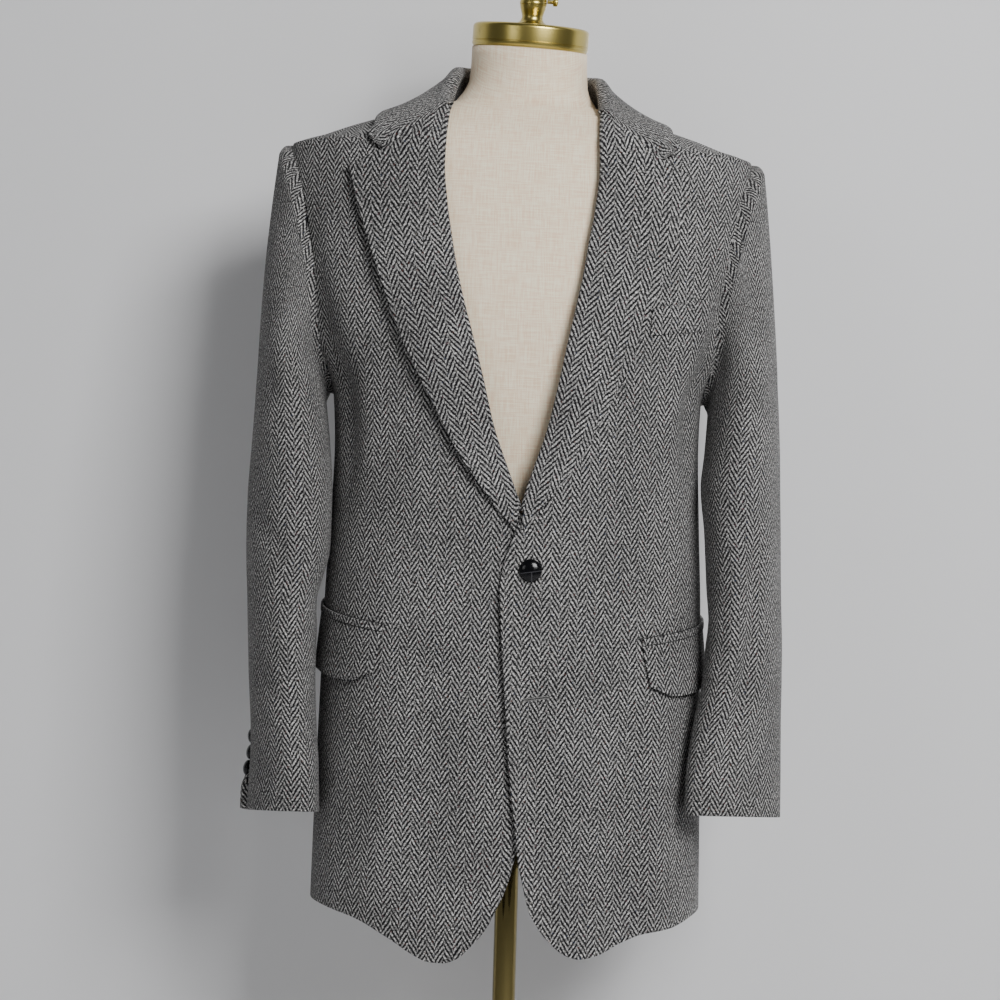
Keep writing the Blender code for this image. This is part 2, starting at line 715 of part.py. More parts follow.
def strip(name, side, corners, size, finish):
    """A flat strip that lies on a front."""
    rows, columns = size
    places = [[within(corners, c / columns, r / rows) for c in range(columns + 1)] for r in range(rows + 1)]
    outer, inner = ([[body(side * angle, height, out) for angle, height in line] for line in places]
                    for out in (LAY_GAP + CLOTH, LAY_GAP))
    wall(name, outer, inner, finish)


def make_pockets(finish):
    """Jets and flaps on both hips, and the welt on the left breast."""
    for side, word in ((LEFT, "left"), (RIGHT, "right")):
        strip("jet_" + word, side, JET, (1, 8), finish)
        make_flap("flap_" + word, side, FLAP, finish)
    strip("breast_welt", LEFT, WELT, (2, 4), finish)


def make_flap(name, side, corners, finish):
    """A pocket flap with a round front corner, standing away from the coat at its side end."""
    columns, rows = 10, 4
    outer, inner = [], []
    for r in range(rows + 1):
        v = r / rows
        outer_row, inner_row = [], []
        for c in range(columns + 1):
            u = (c / columns) ** 1.3
            rounding = 7.0 * (1 - smooth(0, 0.16, u)) * v ** 3
            drop = 3.0 * math.sin(math.pi * min(u * 1.6, 1)) * v
            angle, height = within(corners, u, v)
            height += rounding - drop
            lift = LAY_GAP + 1.2 * v + 5.5 * v * smooth(0.55, 1.0, u)
            outer_row.append(body(side * angle, height, lift + DOUBLED))
            inner_row.append(body(side * angle, height, lift))
        outer.append(outer_row)
        inner.append(inner_row)
    wall(name, outer, inner, finish)


def button_profile(diameter, thickness):
    """A domed button with a rounded rim and a short shank, from the top down."""
    radius = diameter / 2
    dome = [(radius * 0.93 * math.sin(a), thickness * (0.62 + 0.38 * math.cos(a)))
            for a in (math.radians(d) for d in (0, 30, 55, 75, 90))]
    rim = [(radius, thickness * 0.42), (radius * 0.9, thickness * 0.2)]
    shank = [(radius * 0.3, thickness * 0.16), (radius * 0.28, 0), (0, 0)]
    return dome + rim + shank


def place_button(name, diameter, thickness, point, normal, finish, steps):
    """Turns a button so that its shank stands on the cloth at a point."""
    seat = settle(point) / MM + normal * SEAM_CLEAR
    turn = normal.to_track_quat("Z", "Y").to_euler()
    turned(name, button_profile(diameter, thickness), finish, steps=steps, place=seat, turn=turn)


def make_buttons(under_sleeves, finish):
    """The front button on the left front, and three beside each cuff vent."""
    x, height = 15.2, 984.0
    face = on_front(LEFT, x, height, 0.0)
    normal = (on_front(LEFT, x, height, 1.0) - face).normalized()
    place_button("front_button", 22, 7.5, face, normal, finish, 16)
    for side, word in ((LEFT, "left"), (RIGHT, "right")):
        for number, rise in enumerate(CUFF_BUTTON_RISES, start=1):
            point, normal = beside_vent(under_sleeves[side], CUFF_LEVEL[side] + rise)
            place_button(f"cuff_button_{word}_{number}", 15, 7, point, normal, finish, 10)


def beside_vent(grid, height):
    """A point of the under sleeve's outer face behind its vent, at a height, and the normal there."""
    for upper, lower in zip(grid[-2::-1], grid[::-1]):
        if lower[-3].z <= height <= upper[-3].z:
            t = (upper[-3].z - height) / (upper[-3].z - lower[-3].z)
            before, point = (upper[c].lerp(lower[c], t) for c in (-4, -3))
            outward = (point - before).cross(upper[-3] - lower[-3]).normalized()
            point = before.lerp(point, 0.9)
            return point, math.copysign(1, outward.x * point.x) * outward


# ---- the dress form ----
def form_point(angle, height):
    """A point of the torso, inside the coat, with the shoulders just under it."""
    above = min(height + FORM_DROP, 1446.0)
    side, front, back = (FORM_INSET.at(height, n) for n in ("side", "front", "back"))
    power = BODY.at(above, "power")
    half_width = BODY.at(above, "half_width") - side
    depth = -(BODY.at(above, "front") - front) if abs(angle) < 90 else BODY.at(above, "back") - back
    turn = math.radians(abs(angle))
    x = math.copysign(half_width * abs(math.sin(turn)) ** (2 / power), angle)
    return Vector((x, depth * abs(math.cos(turn)) ** (2 / power), height))


def neck_point(angle, height):
    turn = math.radians(angle)
    across = FORM_NECK.at(height, "half_width") * math.sin(turn)
    depth = FORM_NECK.at(height, "front" if abs(angle) < 90 else "back") * -math.cos(turn)
    nod = math.tan(NECK_NOD) * depth * smooth(1460, NECK_TOP, height)
    return Vector((across, depth, height + nod))


def make_form(finish):
    """Torso and neck in one linen-covered body, closed at the bottom and under the cap."""
    columns = 32
    angles = [-180 + 360 * (c + 0.5) / columns for c in range(columns)]
    shoulder_levels = [h - FORM_DROP for h in LEVEL_ROWS if h > 1395]
    levels = [*FORM_LEVELS, *shoulder_levels]
    rings = [[form_point(a, FORM_BOTTOM) for a in angles], [form_point(a, FORM_BOTTOM + 20) for a in angles]]
    for point in rings[0]:
        point.xy *= 0.93
    rings += [[form_point(a, h) for a in angles] for h in levels]
    rings += [[neck_point(a, h) for a in angles] for h in FORM_NECK.keys]
    points = [p for ring in rings for p in ring]
    faces = [tuple(range(columns - 1, -1, -1)), tuple(range(len(points) - columns, len(points)))]
    for r in range(len(rings) - 1):
        for c in range(columns):
            a, b = r * columns + c, r * columns + (c + 1) % columns
            faces.append((a, b, b + columns, a + columns))
    closed_mesh("form_torso", points, faces, finish)


def make_stand(brass):
    """The pole and its round weighted base."""
    hub = [(0, BASE_TOP), (19, BASE_TOP), (20, BASE_TOP - 1), (20, 30), (26, 24)]
    dish = [(60, 19), (120, 15), (158, 12), (166, 9), (168, 5), (167, 1.5), (165, 0), (0, 0)]
    turned("stand_base", hub + dish, brass, steps=32)
    low, high = BASE_TOP + SEAM_GAP, FORM_BOTTOM - SEAM_GAP
    turned("pole", [(0, high), (POLE_RADIUS, high), (POLE_RADIUS, low), (0, low)], brass, steps=16)


def make_neck_cap(brass):
    """The tilted brass cap, its finial and the finial's thumb screw."""
    tilt = bpy.data.objects.new("cap_tilt", None)
    bpy.data.collections["dressed_form"].objects.link(tilt)
    tilt.location = Vector((ASKEW.at(NECK_TOP, "sway"), 0, NECK_TOP)) * MM
    tilt.rotation_euler = Euler((NECK_NOD, NECK_TILT, 0))
    low, high = SEAM_GAP, 23.8
    rim = [(52, high), (56.5, high - 0.8), (58, high - 2.6), (58, low + 2.6), (56.8, low + 0.6), (55.5, low)]
    turned("neck_cap", [(0, high), *rim, (0, low)], brass, steps=32, parent=tilt)

    seat = high + SEAM_GAP
    ball_radius, ball_level = 12.5, 66
    ball = [(ball_radius * math.sin(a), ball_level + ball_radius * math.cos(a))
            for a in (math.radians(d) for d in (0, 30, 55, 80, 105, 130, 150))]
    neck = [(5.2, 53), (5.2, 50), (9.5, 47), (13.2, 42)]
    barrel = [(13.6, 30), (13.2, 20), (12.0, 15), (10.4, 9), (11.5, 5), (15, 2.2), (15.5, 0), (0, 0)]
    profile = [(radius, seat + level) for radius, level in ball + neck + barrel]
    turned("finial", profile, brass, steps=16, parent=tilt)
    knob = [(0, 11), (3.4, 10.6), (4.2, 8.8), (4.2, 6.6), (2.0, 5.6), (2.0, 0), (0, 0)]
    turned("finial_screw", knob, brass, steps=12, place=(13.4 + SEAM_GAP, 0, seat + 25),
           turn=(0, math.radians(90), 0), parent=tilt)


def main():
    for old in list(bpy.data.objects):
        bpy.data.objects.remove(old)
    home = bpy.data.collections.new("dressed_form")
    bpy.context.scene.collection.children.link(home)
    tweed = material("tweed", (0.14, 0.14, 0.14), 0.95)
    linen = material("linen", (0.72, 0.62, 0.52), 0.85)
    brass = material("brass", (0.48, 0.36, 0.13), 0.28, metallic=1.0)
    horn = material("black_button", (0.012, 0.012, 0.015), 0.25)
    under_sleeves = {}
    for side in (LEFT, RIGHT):
        make_front(side, tweed)
        make_back(side, tweed)
        under_sleeves[side] = make_sleeve(side, tweed)
        make_lapel(side, tweed)
    make_collar(tweed)
    make_pockets(tweed)
    make_buttons(under_sleeves, horn)
    make_form(linen)
    make_stand(brass)
    make_neck_cap(brass)


main()
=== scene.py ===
# %% [markdown]
# # A tweed sport coat on a limbless dress form
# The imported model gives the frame: every cloth piece, button and stand part is already there as a plain
# solid, in metres, with its place in its mesh. This lesson dresses that frame. Cloth solids are swapped for
# finer shells on the same surface, hard solids for rounded ones, and everything gets its finish.

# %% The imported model
import math

import bmesh
import bpy
import numpy as np
from mathutils import Euler, Matrix, Vector


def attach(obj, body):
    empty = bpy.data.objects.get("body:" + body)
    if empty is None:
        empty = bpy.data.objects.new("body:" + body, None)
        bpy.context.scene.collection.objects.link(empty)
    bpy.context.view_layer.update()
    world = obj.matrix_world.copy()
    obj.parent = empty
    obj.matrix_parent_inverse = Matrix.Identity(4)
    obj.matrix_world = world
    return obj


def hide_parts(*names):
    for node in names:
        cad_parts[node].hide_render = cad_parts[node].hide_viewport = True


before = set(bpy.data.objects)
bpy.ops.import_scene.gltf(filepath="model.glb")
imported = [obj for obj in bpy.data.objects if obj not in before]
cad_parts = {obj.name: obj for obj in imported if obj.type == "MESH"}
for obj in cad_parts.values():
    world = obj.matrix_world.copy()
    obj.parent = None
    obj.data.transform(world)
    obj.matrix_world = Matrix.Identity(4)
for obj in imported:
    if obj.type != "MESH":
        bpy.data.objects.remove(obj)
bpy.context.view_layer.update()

MM = 0.001
LEFT, RIGHT = 1, -1            # the wearer's sides
WORDS = {LEFT: "left", RIGHT: "right"}

# %% [markdown]
# ## The camera
# A long lens at the height of the coat's middle keeps upright things upright. The camera is held with a
# slight roll, as one is without a spirit level, so the stand seems to lean a touch.

# %% The camera
lens = bpy.data.cameras.new("studio_camera")
lens.sensor_width, lens.lens = 36.0, 84.6    # millimetres
CAMERA_ROLL = math.radians(1.6)
camera = bpy.data.objects.new("studio_camera", lens)
camera.location = (-0.0175, -2.35, 1.05)
level, rolled = Matrix.Rotation(math.radians(90), 3, "X"), Matrix.Rotation(CAMERA_ROLL, 3, "Z")
camera.rotation_euler = (level @ rolled).to_euler()
bpy.context.collection.objects.link(camera)
bpy.context.scene.camera = camera
print("width seen at the coat, m:", round(-camera.location.y * lens.sensor_width / lens.lens, 2))

# %% [markdown]
# ## Node helpers
# A finish is a small tree of nodes. Short helpers keep those trees readable: put adds a node and feeds its
# sockets, calc does a piece of arithmetic, connect links what is made to a shader or to a group's way out,
# and the others wrap the few nodes that every finish here needs.


# %% Node helpers
def put(tree, kind, feeds=(), **settings):
    """Adds a node. feeds gives its sockets, by name or number, a value or another node's output."""
    made = tree.nodes.new("ShaderNode" + kind)
    for name, value in settings.items():
        setattr(made, name, value)
    for key, value in dict(feeds).items():
        if isinstance(value, bpy.types.NodeSocket):
            tree.links.new(value, made.inputs[key])
        else:
            made.inputs[key].default_value = value
    return made


def calc(tree, operation, *values):
    return put(tree, "Math", enumerate(values), operation=operation).outputs[0]


def tint(tree, share, first, second, how="MIX"):
    """Mixes two colours by a share."""
    return put(tree, "Mix", {0: share, 6: first, 7: second}, data_type="RGBA", blend_type=how).outputs[2]


def spread(tree, value, low, high, to_low=0.0, to_high=1.0):
    """Maps a range of values to another, with soft ends."""
    feeds = {"Value": value, "From Min": low, "From Max": high, "To Min": to_low, "To Max": to_high}
    return put(tree, "MapRange", feeds, interpolation_type="SMOOTHSTEP").outputs[0]


def noise(tree, place, scale, detail=2.0, rough=0.5):
    feeds = {"Vector": place, "Scale": scale, "Detail": detail, "Roughness": rough}
    return put(tree, "TexNoise", feeds).outputs["Fac"]


def solid_place(tree):
    """Where a point lies on its object, in metres."""
    return put(tree, "TexCoord").outputs["Object"]


def mapped_place(tree, name="cloth"):
    """Where a point lies on one of its mesh's flat maps."""
    return put(tree, "UVMap", uv_map=name).outputs[0]


def connect(tree, sockets, **outputs):
    """Links outputs to the sockets of these names."""
    for name, output in outputs.items():
        tree.links.new(output, sockets[name.replace("_", " ")])


def emboss(tree, shader, height, strength, depth):
    """Lets a height, from 0 to 1, tilt the light on a surface. The depth is in metres."""
    bump = put(tree, "Bump", {"Height": height, "Strength": strength, "Distance": depth})
    connect(tree, shader.inputs, Normal=bump.outputs[0])


def effect(name, takes, gives):
    """A node group with named inputs (and their values) and outputs."""
    tree = bpy.data.node_groups.new(name, "ShaderNodeTree")
    for title, value in takes.items():
        kind = "NodeSocketVector" if value is None else "NodeSocketFloat"
        socket = tree.interface.new_socket(title, in_out="INPUT", socket_type=kind)
        if value is not None:
            socket.default_value = value
    for title in gives:
        kind = "NodeSocketColor" if title.endswith("Colour") else "NodeSocketFloat"
        tree.interface.new_socket(title, in_out="OUTPUT", socket_type=kind)
    return tree, tree.nodes.new("NodeGroupInput").outputs, tree.nodes.new("NodeGroupOutput").inputs


def use(tree, group, **feeds):
    """Places a group in a material and returns its outputs."""
    return put(tree, "Group", feeds, node_tree=group).outputs


def finish(name, **sockets):
    """A material with its shader's plain values set. Returns the material, its tree and its shader."""
    made = bpy.data.materials.new(name)
    made.use_nodes = True
    shader = made.node_tree.nodes["Principled BSDF"]
    for key, value in sockets.items():
        shader.inputs[key.replace("_", " ")].default_value = value
    return made, made.node_tree, shader


# %% [markdown]
# ## The studio
# A plain pale floor and a paper wall right behind the stand, which catches the coat's soft shadow. The paper
# shows on the side that faces the coat only, and it lets light through, so the coat can also be lit and
# looked at from behind.

# %% The studio
paper, tree, shader = finish("studio_paper", Roughness=0.9)
grey = tint(tree, noise(tree, solid_place(tree), 3.0), (0.74, 0.74, 0.75, 1), (0.77, 0.77, 0.78, 1))
connect(tree, shader.inputs, Base_Color=grey)
behind = put(tree, "NewGeometry").outputs["Backfacing"]
through = calc(tree, "MAXIMUM", behind, put(tree, "LightPath").outputs["Is Shadow Ray"])
clear = put(tree, "BsdfTransparent").outputs[0]
one_way = put(tree, "MixShader", {0: through, 1: shader.outputs[0], 2: clear}).outputs[0]
connect(tree, tree.nodes["Material Output"].inputs, Surface=one_way)


def paper_sheet(name, corners):
    """A staged sheet of paper through rows of points from side to side."""
    mesh = bpy.data.meshes.new(name)
    rows = len(corners)
    mesh.from_pydata([(x, y, z) for reach, y, z in corners for x in (-reach, reach)], [],
                     [(2 * i, 2 * i + 1, 2 * i + 3, 2 * i + 2) for i in range(rows - 1)])
    mesh.shade_smooth()
    mesh.materials.append(paper)
    sheet = bpy.data.objects.new(name, mesh)
    bpy.context.collection.objects.link(sheet)


FLOOR_REACH, WALL_REACH, WALL_PLACE = 7.0, 4.5, 0.2    # the stand's base reaches back to 0.168 m
paper_sheet("floor_paper", [(FLOOR_REACH, -FLOOR_REACH, 0.0), (FLOOR_REACH, FLOOR_REACH, 0.0)])
paper_sheet("wall_paper", [(WALL_REACH, WALL_PLACE, 0.0005), (WALL_REACH, WALL_PLACE, WALL_REACH)])

# %% [markdown]
# ## Light
# A coat's dark cloth needs a large soft light, or its folds turn to hard stripes. Each soft box is a square
# area light that faces the coat: a strong one in front on the right, a weak one on the left and one behind.
# The air outside is pale to the camera and dim to everything else, which leaves the shading to the boxes.

# %% Light
COAT_MIDDLE = Vector((0, 0, 1.1))


def soft_box(name, place, size, power):
    """A square light that faces the coat."""
    light = bpy.data.lights.new(name, "AREA")
    light.shape, light.size, light.energy = "SQUARE", size, power
    lamp = bpy.data.objects.new(name, light)
    lamp.location = place
    lamp.rotation_euler = (COAT_MIDDLE - Vector(place)).to_track_quat("-Z", "Y").to_euler()
    bpy.context.collection.objects.link(lamp)


soft_box("key_box", (1.15, -2.3, 2.35), 1.1, 88)
soft_box("fill_box", (-1.6, -2.4, 1.8), 0.9, 6)
soft_box("back_box", (0.6, 2.7, 1.9), 1.2, 60)
world = bpy.data.worlds.new("studio_air")
bpy.context.scene.world = world
world.use_nodes = True
tree = world.node_tree
dim = tree.nodes["Background"]
dim.inputs["Color"].default_value, dim.inputs["Strength"].default_value = (0.96, 0.98, 1.0, 1), 0.1
pale = put(tree, "Background", {"Color": (0.93, 0.95, 1.0, 1), "Strength": 0.58}).outputs[0]
seen = put(tree, "LightPath").outputs["Is Camera Ray"]
air = put(tree, "MixShader", {0: seen, 1: dim.outputs[0], 2: pale}).outputs[0]
connect(tree, tree.nodes["World Output"].inputs, Surface=air)
print("soft boxes:", [light.name for light in bpy.data.lights])

# %% [markdown]
# ## Herringbone
# Tweed is woven from dark and light yarn in a broken twill: the diagonal runs up for one column, then down
# for the next, so the lines meet in points. Painted from a picture it would slide off every fold. Here the
# cloth's own map, in metres of cloth, drives it: a to-and-fro ramp across the columns bends level lines
# into a zigzag, and a cosine turns the zigzag's distance into light and dark. Lumps of a coarser noise then
# break the lines, as uneven yarn does.

# %% Herringbone
herringbone, given, gives = effect(
    "herringbone", {"Place": None, "Column": 0.0087, "Pitch": 0.0064, "Rise": 1.52},
    ("Light", "Relief", "Nap"))
tree = herringbone
wander = put(tree, "TexNoise", {"Vector": given["Place"], "Scale": 90.0, "Detail": 1.0}).outputs["Color"]
wander = put(tree, "VectorMath", {0: wander, 1: (-0.5, -0.5, -0.5)}, operation="ADD").outputs[0]
stray = {0: wander, 1: (0.0016, 0.0012, 0), 2: given["Place"]}
moved = put(tree, "VectorMath", stray, operation="MULTIPLY_ADD").outputs[0]
across, up = put(tree, "SeparateXYZ", {0: moved}).outputs[:2]
zigzag = calc(tree, "PINGPONG", across, given["Column"])
column = calc(tree, "FLOOR", calc(tree, "DIVIDE", across, given["Column"]))
half_turn = calc(tree, "MULTIPLY", calc(tree, "FLOORED_MODULO", column, 2.0), 0.5)
turns = calc(tree, "DIVIDE", calc(tree, "MULTIPLY_ADD", zigzag, given["Rise"], up), given["Pitch"])
wave = calc(tree, "COSINE", calc(tree, "MULTIPLY", calc(tree, "ADD", turns, half_turn), 2 * math.pi))
hair = noise(tree, given["Place"], 780.0, 2.0, 0.6)
lump = noise(tree, given["Place"], 520.0, 2.0)
rough_wave = calc(tree, "ADD", wave, calc(tree, "MULTIPLY", calc(tree, "SUBTRACT", lump, 0.5), 4.6))
relief = calc(tree, "MULTIPLY_ADD", hair, 0.9, calc(tree, "MULTIPLY", rough_wave, 0.28))
connect(tree, gives, Light=spread(tree, rough_wave, -0.8, 1.5), Relief=relief, Nap=hair)
print("herringbone:", len(tree.nodes), "nodes")

# %% [markdown]
# ## Flecks
# Country tweed is spun from wool dyed before spinning, so a few hairs of rust, blue and cream turn up in
# the grey. Scattered cells pick a few tiny spots, and each spot's own random number picks its colour.

# %% Flecks
flecks, given, gives = effect("flecks", {"Place": None, "Cell": 0.007, "Size": 0.13}, ("Spot", "Spot Colour"))
tree = flecks
per_metre = calc(tree, "DIVIDE", 1.0, given["Cell"])
cells = put(tree, "VectorMath", {0: given["Place"], "Scale": per_metre}, operation="SCALE").outputs[0]
spots = put(tree, "TexVoronoi", {"Vector": cells, "Scale": 1.0, "Randomness": 1.0}, voronoi_dimensions="2D")
hue = put(tree, "SeparateColor", {0: spots.outputs["Color"]}).outputs
ramp = put(tree, "ValToRGB", {"Fac": hue[0]})
ramp.color_ramp.interpolation = "CONSTANT"
for at, colour in ((0.0, (0.30, 0.09, 0.06, 1)), (0.22, (0.06, 0.10, 0.22, 1)), (0.44, (0.62, 0.58, 0.50, 1)),
                   (0.66, (0.10, 0.16, 0.12, 1)), (0.8, (0.36, 0.15, 0.20, 1))):
    stop = ramp.color_ramp.elements.new(at) if at else ramp.color_ramp.elements[0]
    stop.position, stop.color = at, colour
ramp.color_ramp.elements.remove(ramp.color_ramp.elements[-1])
near = spread(tree, calc(tree, "DIVIDE", spots.outputs["Distance"], given["Size"]), 0.6, 1.2, 1.0, 0.0)
rare = calc(tree, "GREATER_THAN", hue[1], 0.45)
connect(tree, gives, Spot=calc(tree, "MULTIPLY", near, rare), Spot_Colour=ramp.outputs["Color"])
print("fleck colours:", len(ramp.color_ramp.elements))

# %% [markdown]
# ## Tweed
# The finish mixes near-black and ash yarn by the herringbone's light mask, drifts a little in tone from
# place to place, adds the flecks, and lifts the surface where the light yarn floats. Wool scatters light
# at its edges, which the sheen gives.

# %% Tweed
tweed, tree, shader = finish("grey_herringbone", Roughness=0.95, Specular_IOR_Level=0.12,
                             Sheen_Weight=0.06, Sheen_Roughness=0.5)
place = mapped_place(tree)
weave = use(tree, herringbone, Place=place)
colour = tint(tree, weave["Light"], (0.009, 0.009, 0.0105, 1), (0.395, 0.388, 0.38, 1))
slub = spread(tree, noise(tree, place, 340.0, 1.0), 0.34, 0.66, 0.68, 1.32)
cloud = spread(tree, noise(tree, place, 14.0, 2.0), 0.25, 0.75, 0.84, 1.12)
grain = spread(tree, weave["Nap"], 0.32, 0.68, 0.3, 1.75)
shade = calc(tree, "MULTIPLY", calc(tree, "MULTIPLY", slub, cloud), grain)
grey = put(tree, "CombineColor", {channel: shade for channel in range(3)}).outputs[0]
colour = tint(tree, 1.0, colour, grey, "MULTIPLY")
bits = use(tree, flecks, Place=place)
colour = tint(tree, calc(tree, "MULTIPLY", bits["Spot"], 0.16), colour, bits["Spot Colour"])
connect(tree, shader.inputs, Base_Color=colour)
emboss(tree, shader, weave["Relief"], 0.7, 0.0008)
print("tweed:", len(tree.nodes), "nodes")

# %% [markdown]
# ## Levels and curves
# A few levels of the coat are used again and again, so they have names. All measures are in millimetres
# until a piece is made. Measures between two levels come from a smooth curve through a table's rows. It
# never overshoots, because a body or a hem drawn through a few measures shouldn't wave between them.

# %% Levels and curves
CLOTH, DOUBLED, SEAM_GAP, SEAM_CLEAR, LAY_GAP = 2.0, 3.0, 0.3, 0.4, 0.6
BODY_BOTTOM, BODY_TOP = 600.0, 1446.0
ARMHOLE_TOP, ARMHOLE_BOTTOM, ARMHOLE_HALF_DEPTH = 1395.0, 1150.0, 64.0
ARMHOLE_MIDDLE, ARMHOLE_HALF_HEIGHT = (ARMHOLE_TOP + ARMHOLE_BOTTOM) / 2, (ARMHOLE_TOP - ARMHOLE_BOTTOM) / 2
HEM_LEVEL, HEM_TOP, V_BOTTOM, GORGE_LEVEL = 650.0, 760.0, 1041.0, 1428.0
VENT_TOP, VENT_UNDERLAP, VENT_DIP = 905.0, 34.0, 9.0
BICEPS_LEVEL, CUFF_SLOPE, CUFF_TONGUE, BUTTON_LEVEL = 1140.0, 0.12, 5.0, 984.0
CUFF_LEVEL = {LEFT: 750.0, RIGHT: 741.0}


def smooth(low, high, value):
    t = np.clip((np.asarray(value, float) - low) / (high - low), 0, 1)
    return t * t * (3 - 2 * t)


def mix(a, b, t):
    return a + (b - a) * t


def ease(t, first, last, leave, arrive):
    """A smooth curve from first to last, with its slope at both ends."""
    return ((1 + 2 * t) * (1 - t) ** 2 * first + t * (1 - t) ** 2 * leave
            + t * t * (3 - 2 * t) * last - t * t * (1 - t) * arrive)


def lengths(steps):
    return np.linalg.norm(steps, axis=-1)


def travelled(points, axis=0):
    """Distance along lines of points, from the first point on."""
    way = np.cumsum(lengths(np.diff(points, axis=axis)), axis)
    return np.concatenate([np.zeros_like(way.take([0], axis)), way], axis)


class Table:
    """Rows of named columns, keyed by the first one."""

    def __init__(self, names, *rows):
        data = np.array(rows, float)
        self.keys, self.columns, self.slopes = data[:, 0], {}, {}
        for i, name in enumerate(names.split()):
            steps = np.diff(data[:, i]) / np.diff(self.keys)
            a, b = steps[:-1], steps[1:]
            inner = np.where(a * b <= 0, 0, 2 * a * b / np.where(a + b == 0, 1, a + b))
            self.columns[name], self.slopes[name] = data[:, i], np.array([steps[0], *inner, steps[-1]])

    def at(self, key, name):
        keys, values, slopes = self.keys, self.columns[name], self.slopes[name]
        key = np.clip(key, keys[0], keys[-1])
        i = np.clip(np.searchsorted(keys, key, side="right") - 1, 0, len(keys) - 2)
        span = keys[i + 1] - keys[i]
        return ease((key - keys[i]) / span, values[i], values[i + 1], span * slopes[i], span * slopes[i + 1])


print("halfway along a curve from 0 to 10:", float(Table("key value", (0, 0), (1, 10)).at(0.5, "value")))

# %% [markdown]
# ## The body's measures
# A cutter drafts a coat from level girths. These tables hold them: half width, front and back depth at
# each height, how far it hangs askew, the roll lines of the lapels, both front edges and the hem.

# %% The body's measures
BODY = Table(
    "height half_width front back power",
    (600, 194, 133, 128, 2.5), (760, 191.5, 131, 126, 2.5), (860, 189, 130, 121, 2.5),
    (950, 187, 127, 110, 2.5), (1040, 183, 126, 99, 2.4), (1100, 181, 128, 97, 2.4),
    (1150, 183, 131, 101, 2.35), (1200, 205, 131, 106, 2.35), (1250, 220, 130, 110, 2.3),
    (1300, 229, 123, 112, 2.25), (1350, 233, 113, 109, 2.2), (1385, 231.5, 102, 104, 2.2),
    (1395, 228.5, 99, 101, 2.2), (1402, 205, 95, 98, 2.2), (1410, 184, 89, 95, 2.2),
    (1418, 160, 82, 90, 2.2), (1426, 131, 75, 85, 2.2), (1433, 108, 70, 79, 2.2),
    (1440, 90, 66, 73, 2.2), (1446, 76, 63, 67, 2.2))
ASKEW = Table(
    "height sway lean",
    (0, 0, 0), (600, -2.2, 0), (1050, -2.2, 0), (1300, -5, 0.0155), (1395, -5, 0.0155), (1440, -2.5, 0.03),
    (1475, -0.4, 0.052), (1600, -0.4, 0.052))
ROLL = Table(
    "height centre half",
    (1022, 5, 1), (1041, 5, 2), (1060, 4, 7.5), (1080, 3.5, 14.5), (1120, 3, 28), (1160, 3, 37.5),
    (1200, 2, 46.8), (1240, 1, 56.5), (1270, 0.5, 63), (1300, 0, 68), (1330, 0, 73), (1370, 0, 77),
    (1415, 0, 76), (1446, 0, 75.6))
FRONT_EDGE = Table(
    "height over under",
    (640, 40, -30), (661, 23, -9.3), (690, 15.5, 2.5), (710, 11, 7.5), (742, 7.2, 13), (785, 1.3, 20),
    (828, -2.7, 27), (872, -6.2, 31), (916, -10, 33), (942, -11.5, 34), (965, -13, 34), (985, -11, 32),
    (1005, -5, 24), (1022, 0.5, 12), (1041, 7.2, 3))
HEM = Table(
    "distance over under back",
    (0, 690, 690, 668), (9, 685, 661, 668), (14.7, 677, 648.5, 667.7), (23, 661, 636.5, 667),
    (28, 652.3, 631, 666.7), (34, 643.5, 624.5, 666.3), (42, 634.5, 617, 666), (50, 627, 612.7, 665.3),
    (58, 621.5, 611, 665), (71, 618, 611.6, 664), (89, 621.5, 619, 663), (108, 631.5, 631, 661),
    (133, 640, 643, 659), (160, 643, 650, 657), (190, 652, 654, 655), (200, 653, 654, 655))
print("chest width, mm:", round(float(BODY.at(1250, "half_width")) * 2))

# %% [markdown]
# ## Lapel, collar and sleeve measures
# A lapel is drafted in rows from its foot to the gorge, a collar in stations from its tip round to the
# middle of the back, and a sleeve in level sections with their own place, size and turn. Each arm hangs in
# its own way, so the two sleeves have a table each.

# %% Lapel, collar and sleeve measures
LAPEL = Table(
    "row roll_height edge_half edge_height centre",
    (0, 1041, 3, 1022.5, 2.7), (1, 1062, 24, 1047, 2.7), (2, 1087, 43, 1073, 2.7), (3, 1116, 61, 1101, 2.7),
    (4, 1147, 76.5, 1132, 2.5), (5, 1178, 90.5, 1160, 2), (6, 1215, 109, 1200, 1), (7, 1252, 122, 1236, 0),
    (8, 1290, 135, 1272, 0), (9, 1335, 150, 1316, 0), (10, 1370, 160, 1349, 0), (11, 1392, 164, 1365, 0),
    (12, 1410, 147, 1373.5, 0), (13, GORGE_LEVEL, 130, 1381.5, 0))
COLLAR = Table(
    "station seam_height seam_angle edge_height edge_angle rise lean",
    (0, GORGE_LEVEL, 34.9, 1381.5, 31.9, 3, 0.32), (1, 1436, 47.4, 1402, 42.5, 8, 0.32),
    (2, 1441.5, 60, 1412, 51.5, 14, 0.32), (3, 1444.8, 74, 1420, 63, 21, 0.32),
    (4, 1446, 90, 1426, 88, 27, 0.3), (5, 1446, 108, 1428.5, 112, 31, 0.26),
    (6, 1446, 126, 1430, 133, 34, 0.2), (7, 1446, 144, 1431, 150, 37, 0.15),
    (8, 1446, 162, 1431, 166, 39, 0.11), (9, 1446, 180, 1431, 180, 40, 0.09))
COLLAR_TIP = (37.3, 1392.0)
